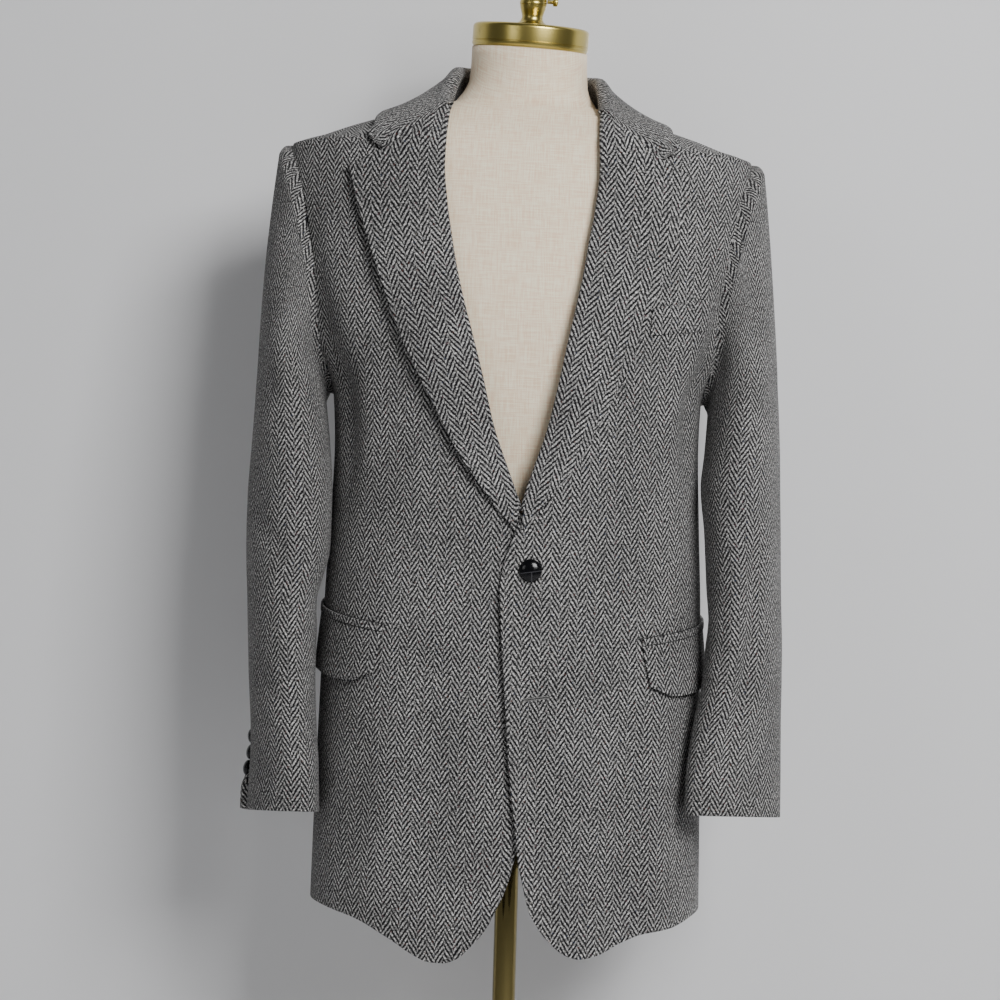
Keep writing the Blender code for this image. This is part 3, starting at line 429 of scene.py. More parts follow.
SLEEVES = {
    LEFT: Table(
        "height centre forward half_width half_depth turn twist",
        (735, 218.5, 73, 25, 61, 51, 0), (787, 219, 68, 28, 61, 48, 0), (835, 222, 58, 33, 61.2, 38, 0),
        (881, 226.5, 50, 35, 62.3, 25, 0), (920, 227.5, 46, 35.5, 64, 19, 0),
        (954, 227, 41, 35.5, 66.6, 16, 0), (1021, 224.5, 36, 37, 71.4, 12, 0),
        (1069, 222, 28, 38.9, 74.9, 10, 0), (1100, 223.5, 22, 37.5, 78, 7, 0),
        (1140, 225, 12, 35.5, 82.5, 5, 0)),
    RIGHT: Table(
        "height centre forward half_width half_depth turn twist",
        (735, 220, 53, 31.6, 57.6, 27, 76), (787, 219.5, 50, 30.5, 60.5, 21, 74),
        (825, 221.3, 48, 31, 62, 15, 66), (874, 224.4, 45, 32, 64, 12, 47),
        (947, 226, 38, 34.5, 67, 12, 20), (1000, 222.5, 36, 40.5, 67.3, 14, 6),
        (1050, 222.5, 32, 41, 71.7, 12, 0), (1100, 223.5, 22, 38.5, 77, 8, 0),
        (1140, 225, 12, 35.5, 82.5, 5, 0))}
CUFF_VENT = Table(
    "rise inward under bulge",
    (0, 2.9, CUFF_TONGUE, 6), (20, 2.9, CUFF_TONGUE, 7), (38, 2.9, CUFF_TONGUE, 2), (54, 2.9, 0, 0),
    (79, 0, 0, 0), (400, 0, 0, 0))
for side, table in SLEEVES.items():
    print(WORDS[side], "cuff, mm across:", round(2 * float(table.at(CUFF_LEVEL[side], "half_depth"))))

# %% [markdown]
# ## The coat's surface
# One function gives any point of the coat's outer face from an angle round the body and a height. Each
# level section is a superellipse, fuller at its corners than an ellipse, as a body is. Soft upright folds
# are added to it, because a coat hangs in pipes where it isn't filled.

# %% The coat's surface
FOLDS = np.array([    # angle, low, high, width, depth
    (-152, 640, 900, 20, 5.0), (-128, 640, 980, 16, -4.0), (-62, 1060, 1330, 9, -4.5),
    (-48, 1090, 1300, 9, 2.5), (-33, 640, 860, 11, 3.0), (31, 640, 840, 11, -3.0),
    (44, 640, 900, 12, 3.5), (52, 1110, 1290, 9, 2.5), (64, 1080, 1320, 9, -4.5),
    (122, 640, 960, 16, -4.0), (150, 640, 920, 20, 5.0)], float)


def level_point(angle, height):
    """The outer face: angle 0 is the front middle, 90 the wearer's left side, 180 the back."""
    angle, height = np.broadcast_arrays(np.asarray(angle, float), np.asarray(height, float))
    angle = (angle + 180) % 360 - 180
    lift = np.zeros(angle.shape)
    for at, low, high, width, depth in FOLDS:
        across = (angle - at) / width
        length = smooth(low - 40, low + 40, height) * (1 - smooth(high - 70, high, height))
        lift += np.where(np.abs(across) < 3, depth * length * np.exp(-across * across * 2), 0)
    half_width, front, back, power = (BODY.at(height, n) for n in ("half_width", "front", "back", "power"))
    turn = np.radians(np.abs(angle))
    x = np.sign(angle) * (half_width + lift) * np.abs(np.sin(turn)) ** (2 / power)
    y = np.where(np.abs(angle) < 90, -(front + lift), back + lift) * np.abs(np.cos(turn)) ** (2 / power)
    return np.stack([x, y, height], -1)


def unit(v):
    return v / np.maximum(np.linalg.norm(v, axis=-1, keepdims=True), 1e-9)


def coat_normal(angle, height):
    height_here = np.minimum(height, BODY_TOP - 1)
    around = level_point(angle + 0.4, height) - level_point(angle - 0.4, height)
    upward = level_point(angle, height_here + 1) - level_point(angle, height_here - 1)
    return unit(np.cross(around, upward))


def coat(angle, height, out=0.0):
    """A point moved out from the outer face."""
    angle, height = np.broadcast_arrays(np.asarray(angle, float), np.asarray(height, float))
    return level_point(angle, height) + coat_normal(angle, height) * np.asarray(out, float)[..., None]


print("front middle at the chest, mm:", level_point(0.0, 1250.0).round(1))

# %% [markdown]
# ## Seams and edges on the surface
# A panel's edges are easier to say across the front or round the armhole than as an angle, so these
# helpers turn one into the other. The left front's edge stands a few millimetres proud of the right one,
# but for the place where the button holds it.


# %% Seams and edges on the surface
def angle_at_x(x, height, back=False):
    ratio = np.minimum(np.abs(x) / BODY.at(height, "half_width"), 1.0)
    angle = np.degrees(np.arcsin(ratio ** (BODY.at(height, "power") / 2)))
    return np.where(np.asarray(x) < 0, -1.0, 1.0) * (180 - angle if back else angle)


def side_angle(height, back=False):
    """Where a panel ends: the side seam, the armhole or the shoulder seam."""
    reach = 1 - ((height - ARMHOLE_MIDDLE) / ARMHOLE_HALF_HEIGHT) ** 2
    depth = np.maximum(ARMHOLE_HALF_DEPTH * np.sqrt(np.maximum(reach, 0)), SEAM_GAP / 2)
    ratio = depth / BODY.at(height, "back" if back else "front")
    angle = np.degrees(np.arccos(ratio ** (BODY.at(height, "power") / 2)))
    return 180 - angle if back else angle


def lap_height(side, x, height):
    """How far the left front stands out over the right one."""
    if side == RIGHT:
        return 0.0 * np.asarray(x)
    buttoned = np.exp(-((height - BUTTON_LEVEL) / 17.0) ** 2)    # there the edge is held down
    proud = 5.0 * (1 - smooth(0, 22, x - FRONT_EDGE.at(height, "over"))) * (1 - smooth(1005, 1038, height))
    lap = (CLOTH + LAY_GAP) * (1 - smooth(45, 105, x)) * (1 - smooth(1045, 1130, height))
    return lap + proud * (1 - 0.85 * buttoned)


def front_edge(side, height):
    below = FRONT_EDGE.at(height, "over" if side == LEFT else "under")
    return np.where(height < V_BOTTOM, below, ROLL.at(height, "centre") + side * ROLL.at(height, "half"))


def on_front(side, x, height, out):
    return coat(angle_at_x(x, height), height, lap_height(side, x, height) + out)


def settle(points):
    """The coat hangs a little askew. Millimetres become metres here."""
    x, y, z = points[..., 0], points[..., 1], points[..., 2]
    return np.stack([x + ASKEW.at(z, "sway"), y, z - x * ASKEW.at(z, "lean")], -1) * MM


print("armhole at its middle, degrees round:", round(float(side_angle(ARMHOLE_MIDDLE)), 1))

# %% [markdown]
# ## A map of the cloth
# The herringbone needs to know how far across and up the cloth each point is. Across is the distance round
# the body from the front middle, measured on level lines, and up is the height, except over the
# shoulders, where the cloth turns towards the neck and up is measured along its slope.

# %% A map of the cloth
HALF_TURN, GIRTH_STEP, SLOPE_START = 181, 6.0, 1340.0    # half a turn and one degree more, in degrees
ANGLES = np.arange(-HALF_TURN, HALF_TURN + 1, 1.0)
HEIGHTS = np.arange(BODY_BOTTOM, BODY_TOP + 1, GIRTH_STEP)
girths = travelled(level_point(ANGLES[None, :], HEIGHTS[:, None]), 1)
girths -= girths[:, [HALF_TURN]]


def girth(angle, height):
    """Distance round the body from the front middle, in millimetres."""
    a = np.clip(np.asarray(angle, float) + HALF_TURN, 0, len(ANGLES) - 1.001)
    h = np.clip((np.asarray(height, float) - BODY_BOTTOM) / GIRTH_STEP, 0, len(HEIGHTS) - 1.001)
    i, j = h.astype(int), a.astype(int)
    s, t = h - i, a - j
    return mix(mix(girths[i, j], girths[i, j + 1], t), mix(girths[i + 1, j], girths[i + 1, j + 1], t), s)


def climb(grid):
    """Distance up the cloth: the height, then the way along the slope of the shoulders."""
    up = grid[..., 2].copy()
    for r in range(1, len(grid)):
        along = unit(np.gradient(grid[r], axis=0))
        step = grid[r] - grid[r - 1]
        step = lengths(step - (step * along).sum(-1, keepdims=True) * along)
        up[r] = np.where(grid[r][:, 2] > SLOPE_START, up[r - 1] + step, up[r])
    return up


print("half chest girth along the cloth, mm:", round(float(girth(180.0, 1250.0))))

# %% [markdown]
# ## Grids of points
# Cloth is drafted as a grid: rows up the piece and columns across it. These helpers find which way a grid
# faces, run smooth curves through its points, and lift it along a given crease.


# %% Grids of points
def grid_normals(grid, ring=False):
    if ring:
        around = np.roll(grid, -1, 1) - np.roll(grid, 1, 1)
    else:
        around = np.gradient(grid, axis=1)
    return unit(np.cross(around, np.gradient(grid, axis=0)))


def thread(points, stations, fine):
    """A smooth curve through points along the first axis, read at fine stations."""
    slopes = np.gradient(points, stations, axis=0)
    i = np.clip(np.searchsorted(stations, fine, side="right") - 1, 0, len(stations) - 2)
    span = stations[i + 1] - stations[i]
    shape = (-1,) + (1,) * (points.ndim - 1)
    t, span = ((fine - stations[i]) / span).reshape(shape), span.reshape(shape)
    return ease(t, points[i], points[i + 1], span * slopes[i], span * slopes[i + 1])


def divided(stations, counts):
    """Each span between stations divided evenly, into its own count of steps."""
    spans = zip(stations, stations[1:], counts)
    return np.concatenate([np.linspace(a, b, n, endpoint=False) for a, b, n in spans] + [stations[-1:]])


def creased(place, creases):
    """How far out soft listed lines lift a grid: from (u, v) to (u, v), width and depth."""
    lift = np.zeros(place.shape[:2])
    for u0, v0, u1, v1, width, depth in creases:
        line = np.array([u1 - u0, v1 - v0], float)
        length = np.linalg.norm(line)
        gap = place - np.array([u0, v0])
        along = (gap @ line) / length ** 2
        side = np.abs(gap[..., 0] * line[1] - gap[..., 1] * line[0]) / length
        ends = smooth(-0.18, 0.22, along) * (1 - smooth(0.78, 1.18, along))
        lift += depth * np.exp(-(side / width) ** 2) * ends
    return lift


print("three even steps, then two:", divided(np.array([0.0, 6.0, 10.0]), (3, 2)))

# %% [markdown]
# ## A cloth shell
# Every cloth piece here is a wall between two grids of points, the right side and the wrong side. Its cut
# edges are closed with one more line of points between the two faces, pushed out a little, because a
# sewn and turned edge is round.

# %% A cloth shell
EDGE_REACH, EDGE_BULGE = 0.8, 0.18    # millimetres in from the edge, and a share of the cloth's thickness


def cloth_object(name, points, faces, places, finish_used):
    """Makes the mesh, turns its faces outward and gives it the cloth map, in metres."""
    mesh = bpy.data.meshes.new(name)
    mesh.from_pydata(settle(points).tolist(), [], faces)
    made = bmesh.new()
    made.from_mesh(mesh)
    bmesh.ops.recalc_face_normals(made, faces=made.faces)
    made.to_mesh(mesh)
    made.free()
    corners = np.empty(len(mesh.loops), int)
    mesh.loops.foreach_get("vertex_index", corners)
    layer = mesh.uv_layers.new(name="cloth")
    layer.data.foreach_set("uv", (places[corners] * MM).astype(np.float32).ravel())
    mesh.shade_smooth()
    mesh.materials.append(finish_used)
    piece = bpy.data.objects.new(name, mesh)
    bpy.context.collection.objects.link(piece)
    return piece


def held(grid, spacing):
    """A grid with one more line close inside each border, which keeps the edge's rounding small."""
    for axis in (0, 1):
        share = [min(0.45, EDGE_REACH / span) for span in spacing[axis]]
        lines = np.moveaxis(grid, axis, 0)
        lines = np.concatenate([lines[:1], [mix(lines[0], lines[1], share[0])], lines[1:-1],
                                [mix(lines[-1], lines[-2], share[1])], lines[-1:]])
        grid = np.moveaxis(lines, 0, axis)
    return grid


def shell(name, outer, inner, place):
    """A tweed wall between two grids with round edges. place is the cloth map, in millimetres."""
    borders = [(grid[0] - grid[1], grid[-1] - grid[-2]) for grid in (outer, outer.swapaxes(0, 1))]
    spacing = [[float(lengths(gap).mean()) for gap in pair] for pair in borders]
    outer, inner, place = (held(grid, spacing) for grid in (outer, inner, place))
    rows, columns = outer.shape[:2]
    total = rows * columns
    index = np.arange(total).reshape(rows, columns)
    a, b, c, d = index[:-1, :-1], index[:-1, 1:], index[1:, 1:], index[1:, :-1]
    quads = np.stack([a, b, c, d], -1).reshape(-1, 4)
    rim = np.concatenate([index[0], index[1:, -1], index[-1, -2::-1], index[-2:0:-1, 0]])
    r, c = rim // columns, rim % columns
    back_r, back_c = np.clip(r, 1, rows - 2), np.clip(c, 1, columns - 2)
    middle = (outer[r, c] + inner[r, c]) / 2
    away = unit(middle - (outer[back_r, back_c] + inner[back_r, back_c]) / 2)
    thick = lengths(outer[r, c] - inner[r, c])[:, None]
    points = np.concatenate([outer.reshape(-1, 3), inner.reshape(-1, 3), middle + away * thick * EDGE_BULGE])
    places = place.reshape(-1, 2)
    places = np.concatenate([places, places, mix(place[r, c], place[back_r, back_c], -0.2)])
    after = np.roll(rim, -1)
    edge_line = 2 * total + np.arange(len(rim))
    edge_after = np.roll(edge_line, -1)
    bands = [np.stack([rim, edge_line, edge_after, after], -1),
             np.stack([edge_line, rim + total, after + total, edge_after], -1)]
    faces = np.concatenate([quads, quads[:, ::-1] + total, *bands]).tolist()
    return cloth_object(name, points, faces, places, tweed)


# %% [markdown]
# ## Sewing a piece
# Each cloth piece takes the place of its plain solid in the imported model, and is kept by its name for
# later. Its size on the map and its area on one side are printed, as a check against a cutter's sense.


def sew(node, outer, inner, place):
    """The node's cloth rides on the root body, stands for its node and takes the tweed slot."""
    piece = shell("cloth_" + node, outer, inner, place)
    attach(piece, "root")
    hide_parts(node)
    flat = np.empty(len(piece.data.loops) * 2, np.float32)
    piece.data.uv_layers[0].data.foreach_get("uv", flat)
    wide, long = np.ptp(flat.reshape(-1, 2), axis=0)
    area = sum(face.area for face in piece.data.polygons) / 2
    print(f"{piece.name}: {len(piece.data.polygons)} faces, map {wide:.3f} x {long:.3f} m, "
          f"one side {area:.4f} m2")


# %% [markdown]
# ## The fronts
# A front is one panel from hem to shoulder. Its inner edge is the button edge below, then the roll line of
# the lapel. The left front laps over the right. Faint pulls run from the one fastened button, and soft
# dents sit above the pockets.

# %% The fronts
ARMHOLE_STEPS = 60
SLEEVE_SEAMS = (1158, 1178, 1215, 1262)    # heights on the armhole that the sleeve's pieces are cut at
armhole_levels = ARMHOLE_MIDDLE - ARMHOLE_HALF_HEIGHT * np.cos(np.linspace(0, np.pi, ARMHOLE_STEPS + 1))
for seam in SLEEVE_SEAMS:
    armhole_levels[np.argmin(np.abs(armhole_levels - seam))] = seam
LEVELS = np.concatenate([np.arange(HEM_TOP, ARMHOLE_BOTTOM, 5.0), armhole_levels,
                         np.linspace(ARMHOLE_TOP, BODY_TOP, 14)[1:]])
HEM_STEPS = np.linspace(0, 1, 25)[:-1]
SIDE_STEP = np.array([4.4, 2.6])    # the two fronts are cut apart, so their columns don't meet
PULLS = {    # from (across, up) the cloth to the same, width, depth
    LEFT: [(30, 985, 120, 1010, 9, -1.2), (30, 972, 115, 950, 10, -1.0), (40, 1000, 110, 1060, 12, 1.0),
           (95, 1060, 150, 980, 14, -1.4), (120, 900, 165, 840, 14, 1.2), (60, 840, 70, 700, 16, -1.6),
           (150, 1120, 190, 1190, 12, 1.5), (125, 1180, 160, 1330, 12, -1.4)],
    RIGHT: [(-25, 990, -110, 1020, 9, -1.2), (-25, 975, -105, 945, 10, -1.1), (-35, 1004, -95, 1070, 12, 1.0),
            (-90, 1050, -150, 985, 15, -1.3), (-110, 890, -160, 850, 12, 1.3), (-55, 850, -75, 690, 18, -1.8),
            (-150, 1130, -185, 1200, 12, 1.3), (-120, 1190, -150, 1340, 12, -1.3)]}


def panel_heights(hems):
    """Heights of a panel's rows (down the first axis) for each column's hem."""
    skirt = mix(hems[None, :], HEM_TOP, HEM_STEPS[:, None])
    return np.concatenate([skirt, np.repeat(LEVELS[:, None], len(hems), 1)])


def make_front(side):
    across = np.linspace(0, 1, 61) ** 1.35
    corner = 661.0
    start = angle_at_x(front_edge(side, np.array(corner)), HEM_LEVEL) * side
    x = np.abs(level_point(mix(start, 90, across), HEM_LEVEL)[:, 0])
    hems = mix(corner, HEM.at(x, "over" if side == LEFT else "under"), smooth(-0.01, 0.01, across))
    heights = panel_heights(hems)
    edge_heights = heights[:, [0]]
    low = angle_at_x(front_edge(side, edge_heights), edge_heights) * side
    angle = side * mix(low, side_angle(heights), across[None, :])
    lap = lap_height(side, level_point(angle, heights)[..., 0], heights)
    face = coat(angle, heights, lap)
    place = np.stack([girth(angle, heights), climb(face)], -1) + (SIDE_STEP if side == RIGHT else 0)
    out = lap + creased(place, PULLS[side])
    outer, inner = coat(angle, heights, out), coat(angle, heights, out - CLOTH)
    sew("front_" + WORDS[side], outer, inner, place)
    return outer


FRONT_FACES = {side: make_front(side) for side in (LEFT, RIGHT)}

# %% [markdown]
# ## The backs
# The back is cut in two halves with a seam down the middle. Below the waist the seam opens into a vent,
# where the right half runs on under the left one.


# %% The backs
def make_back(side):
    across = np.concatenate([[-1.0, -0.75, -0.5, -0.25], np.linspace(0, 1, 45)])
    t = np.maximum(across, 0)
    x_hem = np.abs(level_point(180 - 90 * t, HEM_LEVEL)[:, 0])
    heights = panel_heights(HEM.at(x_hem, "back"))
    dip = angle_at_x(VENT_DIP, heights, back=True)
    angle = mix(dip, side_angle(heights, back=True), t[None, :])
    seam = angle_at_x(SEAM_GAP / 2, heights, back=True)
    if side == RIGHT:
        lap = 360 - angle_at_x(VENT_UNDERLAP, heights, back=True)
        seam = np.where(heights < VENT_TOP - 20, lap, seam)
    angle = np.where(across[None, :] < 0, mix(dip, seam, -across[None, :]), angle) * side
    out = np.zeros(heights.shape)
    if side == RIGHT:
        under = smooth(-40, -VENT_DIP, level_point(angle, heights)[..., 0])
        out = -(CLOTH + 2 * LAY_GAP) * under * (1 - smooth(VENT_TOP + 5, VENT_TOP + 50, heights))
    face, inner = coat(angle, heights, out), coat(angle, heights, out - CLOTH)
    wrapped, half_girth = (angle + 180) % 360 - 180, girth(180.0, heights)
    from_middle = side * (np.abs(girth(wrapped, heights)) - half_girth)
    place = np.stack([np.where(np.abs(angle) > 180, -from_middle, from_middle), climb(face)], -1)
    sew("back_" + WORDS[side], face, inner, place)


make_back(LEFT)
make_back(RIGHT)

# %% [markdown]
# ## Seams and creases of the sleeves
# A two-piece sleeve has a seam in front and one behind, and both end on the armhole, so they are found
# among the armhole's own points. The creases are given one by one, each arm with its own.

# %% Seams and creases of the sleeves
COUNT = 2 * ARMHOLE_STEPS
SHOULDER_ROW = 10
HEAD_RISE = 400.0       # stands for well above the cuff
HEAD_ROWS, ROW_STEP = 44, 4.0
FRONT_LINE = 440.0      # degrees: 80 from the outer side by the front, on the second count
MM_A_DEGREE = 0.9       # round an arm
front_columns = [int(np.argmin(np.abs(armhole_levels[::-1] - h))) for h in SLEEVE_SEAMS[:2]]
back_columns = [ARMHOLE_STEPS + int(np.argmin(np.abs(armhole_levels - h))) for h in SLEEVE_SEAMS]
FRONT_SEAM, BACK_SEAM = front_columns[1], back_columns[-1]
VENT_COLUMNS = [*front_columns[::-1], ARMHOLE_STEPS, *back_columns]
SLEEVE_CREASES = {    # round from the outer side by the front, height, to the same, width, depth
    LEFT: [(58, 1010, 52, 860, 12, -4.0), (86, 990, 80, 880, 12, 2.5), (20, 1180, 70, 1130, 16, -2.5),
           (30, 1080, 90, 1040, 14, 2.0), (100, 1050, 40, 985, 12, -2.4), (15, 960, 60, 905, 12, -1.8),
           (120, 900, 60, 850, 11, 1.8), (70, 820, 110, 790, 10, -1.6), (200, 980, 140, 920, 14, -2.5),
           (230, 900, 180, 860, 14, 2.0), (75, 1350, 60, 1240, 16, -2.5), (54, 900, 26, 700, 10, -3.5)],
    RIGHT: [(75, 1340, 62, 1230, 16, -2.8), (30, 1190, 80, 1120, 16, -2.4), (95, 1090, 40, 1030, 13, 2.2),
            (20, 1040, 75, 985, 13, -2.6), (100, 985, 50, 930, 12, -2.2), (55, 930, 110, 880, 12, 2.0),
            (30, 880, 85, 840, 11, -1.8), (120, 850, 60, 800, 11, 1.6), (210, 1000, 150, 930, 14, -2.5),
            (240, 900, 180, 850, 14, 2.0)]}
print("points round the armhole:", COUNT, "seams at:", FRONT_SEAM, BACK_SEAM)

# %% [markdown]
# ## Rings of a sleeve
# The sleeve is set into the armhole with a little fullness, so it rolls over the seam at the top before it
# falls. Rings of points run from that seam, over the roll, into the arm and down to the cuff.


# %% Rings of a sleeve
def sleeve_point(side, height, place):
    """The sleeve's outer face: place is in degrees round from the outer side by the front."""
    names = ("centre", "forward", "half_width", "half_depth", "turn")
    centre, forward, half_width, half_depth, turn = (SLEEVES[side].at(height, n) for n in names)
    place, turn = np.radians(place), np.radians(turn)
    across, along = half_width * np.cos(place), -half_depth * np.sin(place)
    x = centre + across * np.cos(turn) + along * np.sin(turn)
    y = -forward + along * np.cos(turn) - across * np.sin(turn)
    return np.stack(np.broadcast_arrays(side * x, y, height), -1)


def sleeve_rings(side):
    """All rings of the outer face, the first ring's inner corner, each ring's rise above the cuff, and
    each point's place round the arm."""
    heights = np.concatenate([armhole_levels[::-1], armhole_levels[1:-1]])
    is_back = np.arange(COUNT) > ARMHOLE_STEPS
    angle = np.where(is_back, side_angle(heights, True), side_angle(heights))
    angle[[0, ARMHOLE_STEPS]] = 90
    seam, seam_inner = coat(side * angle, heights), coat(side * angle, heights, -CLOTH)
    above = seam[:, 2] - ARMHOLE_MIDDLE
    up, front = above / ARMHOLE_HALF_HEIGHT, -seam[:, 1] / ARMHOLE_HALF_DEPTH
    places = np.degrees(np.arctan2(front, up)) % 360
    clear = unit(np.stack([0 * up, -seam[:, 1], -above], -1)) + np.array([side * 0.9, 0, 0])
    clear = unit(clear) * SEAM_CLEAR
    high = smooth(ARMHOLE_BOTTOM, ARMHOLE_TOP, seam[:, 2])
    forward = np.clip(seam[:, 1], -1, 1)
    roll = seam + np.stack([side * mix(3.2, 6.5, high), forward * 2, mix(1.2, -1.2, high)], -1)
    shoulder = seam + np.stack([side * mix(5.6, 12.5, high), forward * 5, mix(0.4, -9, high ** 3)], -1)
    end = sleeve_point(side, BICEPS_LEVEL, places)
    drop = shoulder[:, 2] - end[:, 2]
    leave = np.stack([side * 30 * smooth(1160, 1390, shoulder[:, 2]), 0 * up, -drop], -1)
    arrive = (end - sleeve_point(side, BICEPS_LEVEL - 20, places)) * (-drop[:, None] / 20)
    head = ease(np.linspace(0, 1, HEAD_ROWS + 1)[1:, None, None], shoulder, end, leave, arrive)
    knots = np.stack([seam + clear, roll, shoulder, head[1]])
    over = thread(knots, np.array([0, 5, 14, 24.0]), np.linspace(0, 14, 9))
    levels = np.arange(BICEPS_LEVEL - ROW_STEP, CUFF_LEVEL[side] + 1, -ROW_STEP)
    levels = np.append(levels, CUFF_LEVEL[side])
    rise = levels - CUFF_LEVEL[side]
    twist, reach = (SLEEVES[side].at(levels, n) for n in ("twist", "forward"))
    arm = sleeve_point(side, levels[:, None], places[None, :] + twist[:, None])
    arm[..., 2] -= CUFF_SLOPE * (arm[..., 1] + reach[:, None]) * (1 - smooth(0, 60, rise))[:, None]
    rings = np.concatenate([over, head, arm])
    above_arm = len(over) + len(head)
    rises = np.concatenate([np.full(above_arm, HEAD_RISE), rise])
    around = places[None, :] + np.concatenate([np.zeros(above_arm), twist])[:, None]
    return rings, seam_inner + clear, rises, around % 360


print("rings and points of the left sleeve:", sleeve_rings(LEFT)[0].shape[:2])

# %% [markdown]
# ## A sleeve's map and vent
# A sleeve is cut flat, with its columns of herringbone hanging straight down the arm. So its map is level
# distance on the arm, and is carried up over the head. At the cuff the back seam is left open as a vent,
# where the under sleeve dips under the top one and stands full behind it.


# %% A sleeve's map and vent
def sleeve_map(side, rings, normals, head_rows):
    """The cloth map of a whole sleeve on columns counted twice round, so that a piece may cross the start.

    On the arm it is the level distance from a line down the front. Over the head, where rings aren't
    level, each column's map is carried up by its steps along the level and the upward direction.
    """
    twice = np.arange(2 * COUNT + 1) % COUNT
    arc = travelled(rings[:, twice, :2], 1)
    arc -= arc[:, [COUNT]]
    centre, forward = (SLEEVES[side].at(rings[:, 0, 2], n)[:, None] for n in ("centre", "forward"))
    turn = np.degrees(np.arctan2(-(rings[:, twice, 1] + forward), side * rings[:, twice, 0] - centre))
    turn = np.unwrap(turn, period=360, axis=1)
    front_line = np.array([np.interp(FRONT_LINE, a, b) for a, b in zip(turn, arc)])
    across = arc - front_line[:, None] + front_line[head_rows - 1]
    up = rings[:, twice, 2].copy()
    level = unit(np.cross(normals, [0, 0, side]))
    for r in range(SHOULDER_ROW):
        level[r] = level[SHOULDER_ROW]
        level[r] = unit(level[r] - (level[r] * normals[r]).sum(-1, keepdims=True) * normals[r])
    climbing = np.cross(level, normals) * side
    for r in range(head_rows - 2, -1, -1):
        step = rings[r] - rings[r + 1]
        across[r] = across[r + 1] + (step * (level[r] + level[r + 1]) / 2).sum(-1)[twice]
        up[r] = up[r + 1] + (step * (climbing[r] + climbing[r + 1]) / 2).sum(-1)[twice]
    return np.stack([across, up], -1)


def vent_columns(side, grid, seam_line, normals, rises):
    """The under sleeve's back edge at the vent: tucked under the top sleeve, and full behind it."""
    inward, under, bulge = (CUFF_VENT.at(rises, n)[:, None] for n in ("inward", "under", "bulge"))
    bulge = bulge * (1.0 if side == RIGHT else 0.35)
    low = (1 - smooth(0, 30, rises))[:, None] * np.array([0, 0, 1.0])
    grid, place = grid[..., :3], grid[..., 3:]
    last, second = grid[:, -1], grid[:, -2]
    behind = mix(second, last, 0.45) + normals[:, 1] * bulge + low * 1.5
    near = last + unit(second - last) * 1.5 - normals[:, 1] * inward * 1.1 + low * 5
    tucked = last - normals[:, 1] * inward + unit(seam_line - last) * under + low * 6
    full = second + normals[:, 0] * bulge * 0.4
    columns = np.concatenate([grid[:, :-2], np.stack([full, behind, near, tucked], 1)], 1)
    beyond = place[:, -1] - place[:, -2]
    beyond = beyond / np.maximum(np.abs(beyond[:, :1]), 1e-6)
    ends = [mix(place[:, -2], place[:, -1], 0.45), place[:, -1] - beyond * 1.5, place[:, -1] + beyond * under]
    return np.concatenate([columns, np.concatenate([place[:, :-1], np.stack(ends, 1)], 1)], -1)


print("tuck under the top sleeve, mm:", CUFF_TONGUE)

# %% [markdown]
# ## The sleeves
# The creases are pressed into the rings, which are then cut into two pieces at the seams. The top sleeve is
# the outer piece, and the under sleeve closes it behind.


# %% The sleeves
def make_sleeve(side):
    rings, first_inner, rises, around = sleeve_rings(side)
    normals = grid_normals(rings, ring=True) * side
    lift = 0
    for a0, h0, a1, h1, width, depth in SLEEVE_CREASES[side]:
        here, there = (((angle - a0 + 180) % 360 - 180) * MM_A_DEGREE for angle in (around, a1))
        place = np.stack([here, rings[..., 2]], -1)
        lift = lift + creased(place, [(0, h0, there, h1, width, depth)])
    lift = lift * smooth(0, 60, rises)[:, None]
    rings = rings + normals * lift[..., None]
    normals = grid_normals(rings, ring=True) * side
    inside = rings - normals * CLOTH
    inside[0] = first_inner
    cloth_map = sleeve_map(side, rings, normals, int((rises == HEAD_RISE).sum()))
    ends = (BACK_SEAM, FRONT_SEAM + COUNT, BACK_SEAM + COUNT)
    for name, first, last in (("top", *ends[:2]), ("under", *ends[1:])):
        unrolled = np.arange(first, last + 1)
        columns, place = unrolled % COUNT, cloth_map[:, unrolled]
        grids = [np.concatenate([face[:, columns], place], -1) for face in (rings, inside)]
        for grid in grids:
            grid[:, 0, :3] += unit(grid[:, 1, :3] - grid[:, 0, :3]) * (SEAM_GAP / 2)
            grid[:, -1, :3] += unit(grid[:, -2, :3] - grid[:, -1, :3]) * (SEAM_GAP / 2)
        if name == "under":
            knots = [c - FRONT_SEAM for c in VENT_COLUMNS]
            twos = normals[:, [VENT_COLUMNS[-2], BACK_SEAM]]
            grids = [vent_columns(side, grid[:, knots], rings[:, (BACK_SEAM + 1) % COUNT], twos, rises)
                     for grid in grids]
            stations = travelled(grids[0][..., :3], 1).mean(0)
            fine = divided(stations, (4, 4, 4, 6, 6, 4, 5, 2))
            grids = [thread(grid.swapaxes(0, 1), stations, fine).swapaxes(0, 1) for grid in grids]
            full = int(np.argmin(np.abs(fine - stations[-5])))
            grids[0][:, full:, 3] = grids[0][:, [full], 3] + travelled(grids[0][:, full:, :2], 1)
        outer, inner = grids
        sew(f"sleeve_{name}_{WORDS[side]}", outer[..., :3], inner[..., :3], outer[..., 3:])


make_sleeve(LEFT)
make_sleeve(RIGHT)

# %% [markdown]
# ## The lapels
# A lapel is the front's own cloth, faced and turned back on the roll line. So its inner edge isn't an edge
# at all but a round roll, and the cloth bellies a little before it lies down at its outer edge. Its
# columns of herringbone run beside the outer edge, turned from the front's.

# %% The lapels
ROLL_COLUMNS = 9
GRAIN = Table(    # where the columns run, across from the front middle
    "height grain",
    (990, -6), (1041, 6.5), (1120, 26), (1200, 46), (1270, 61), (1330, 70), (1375, 72), (1430, 65))


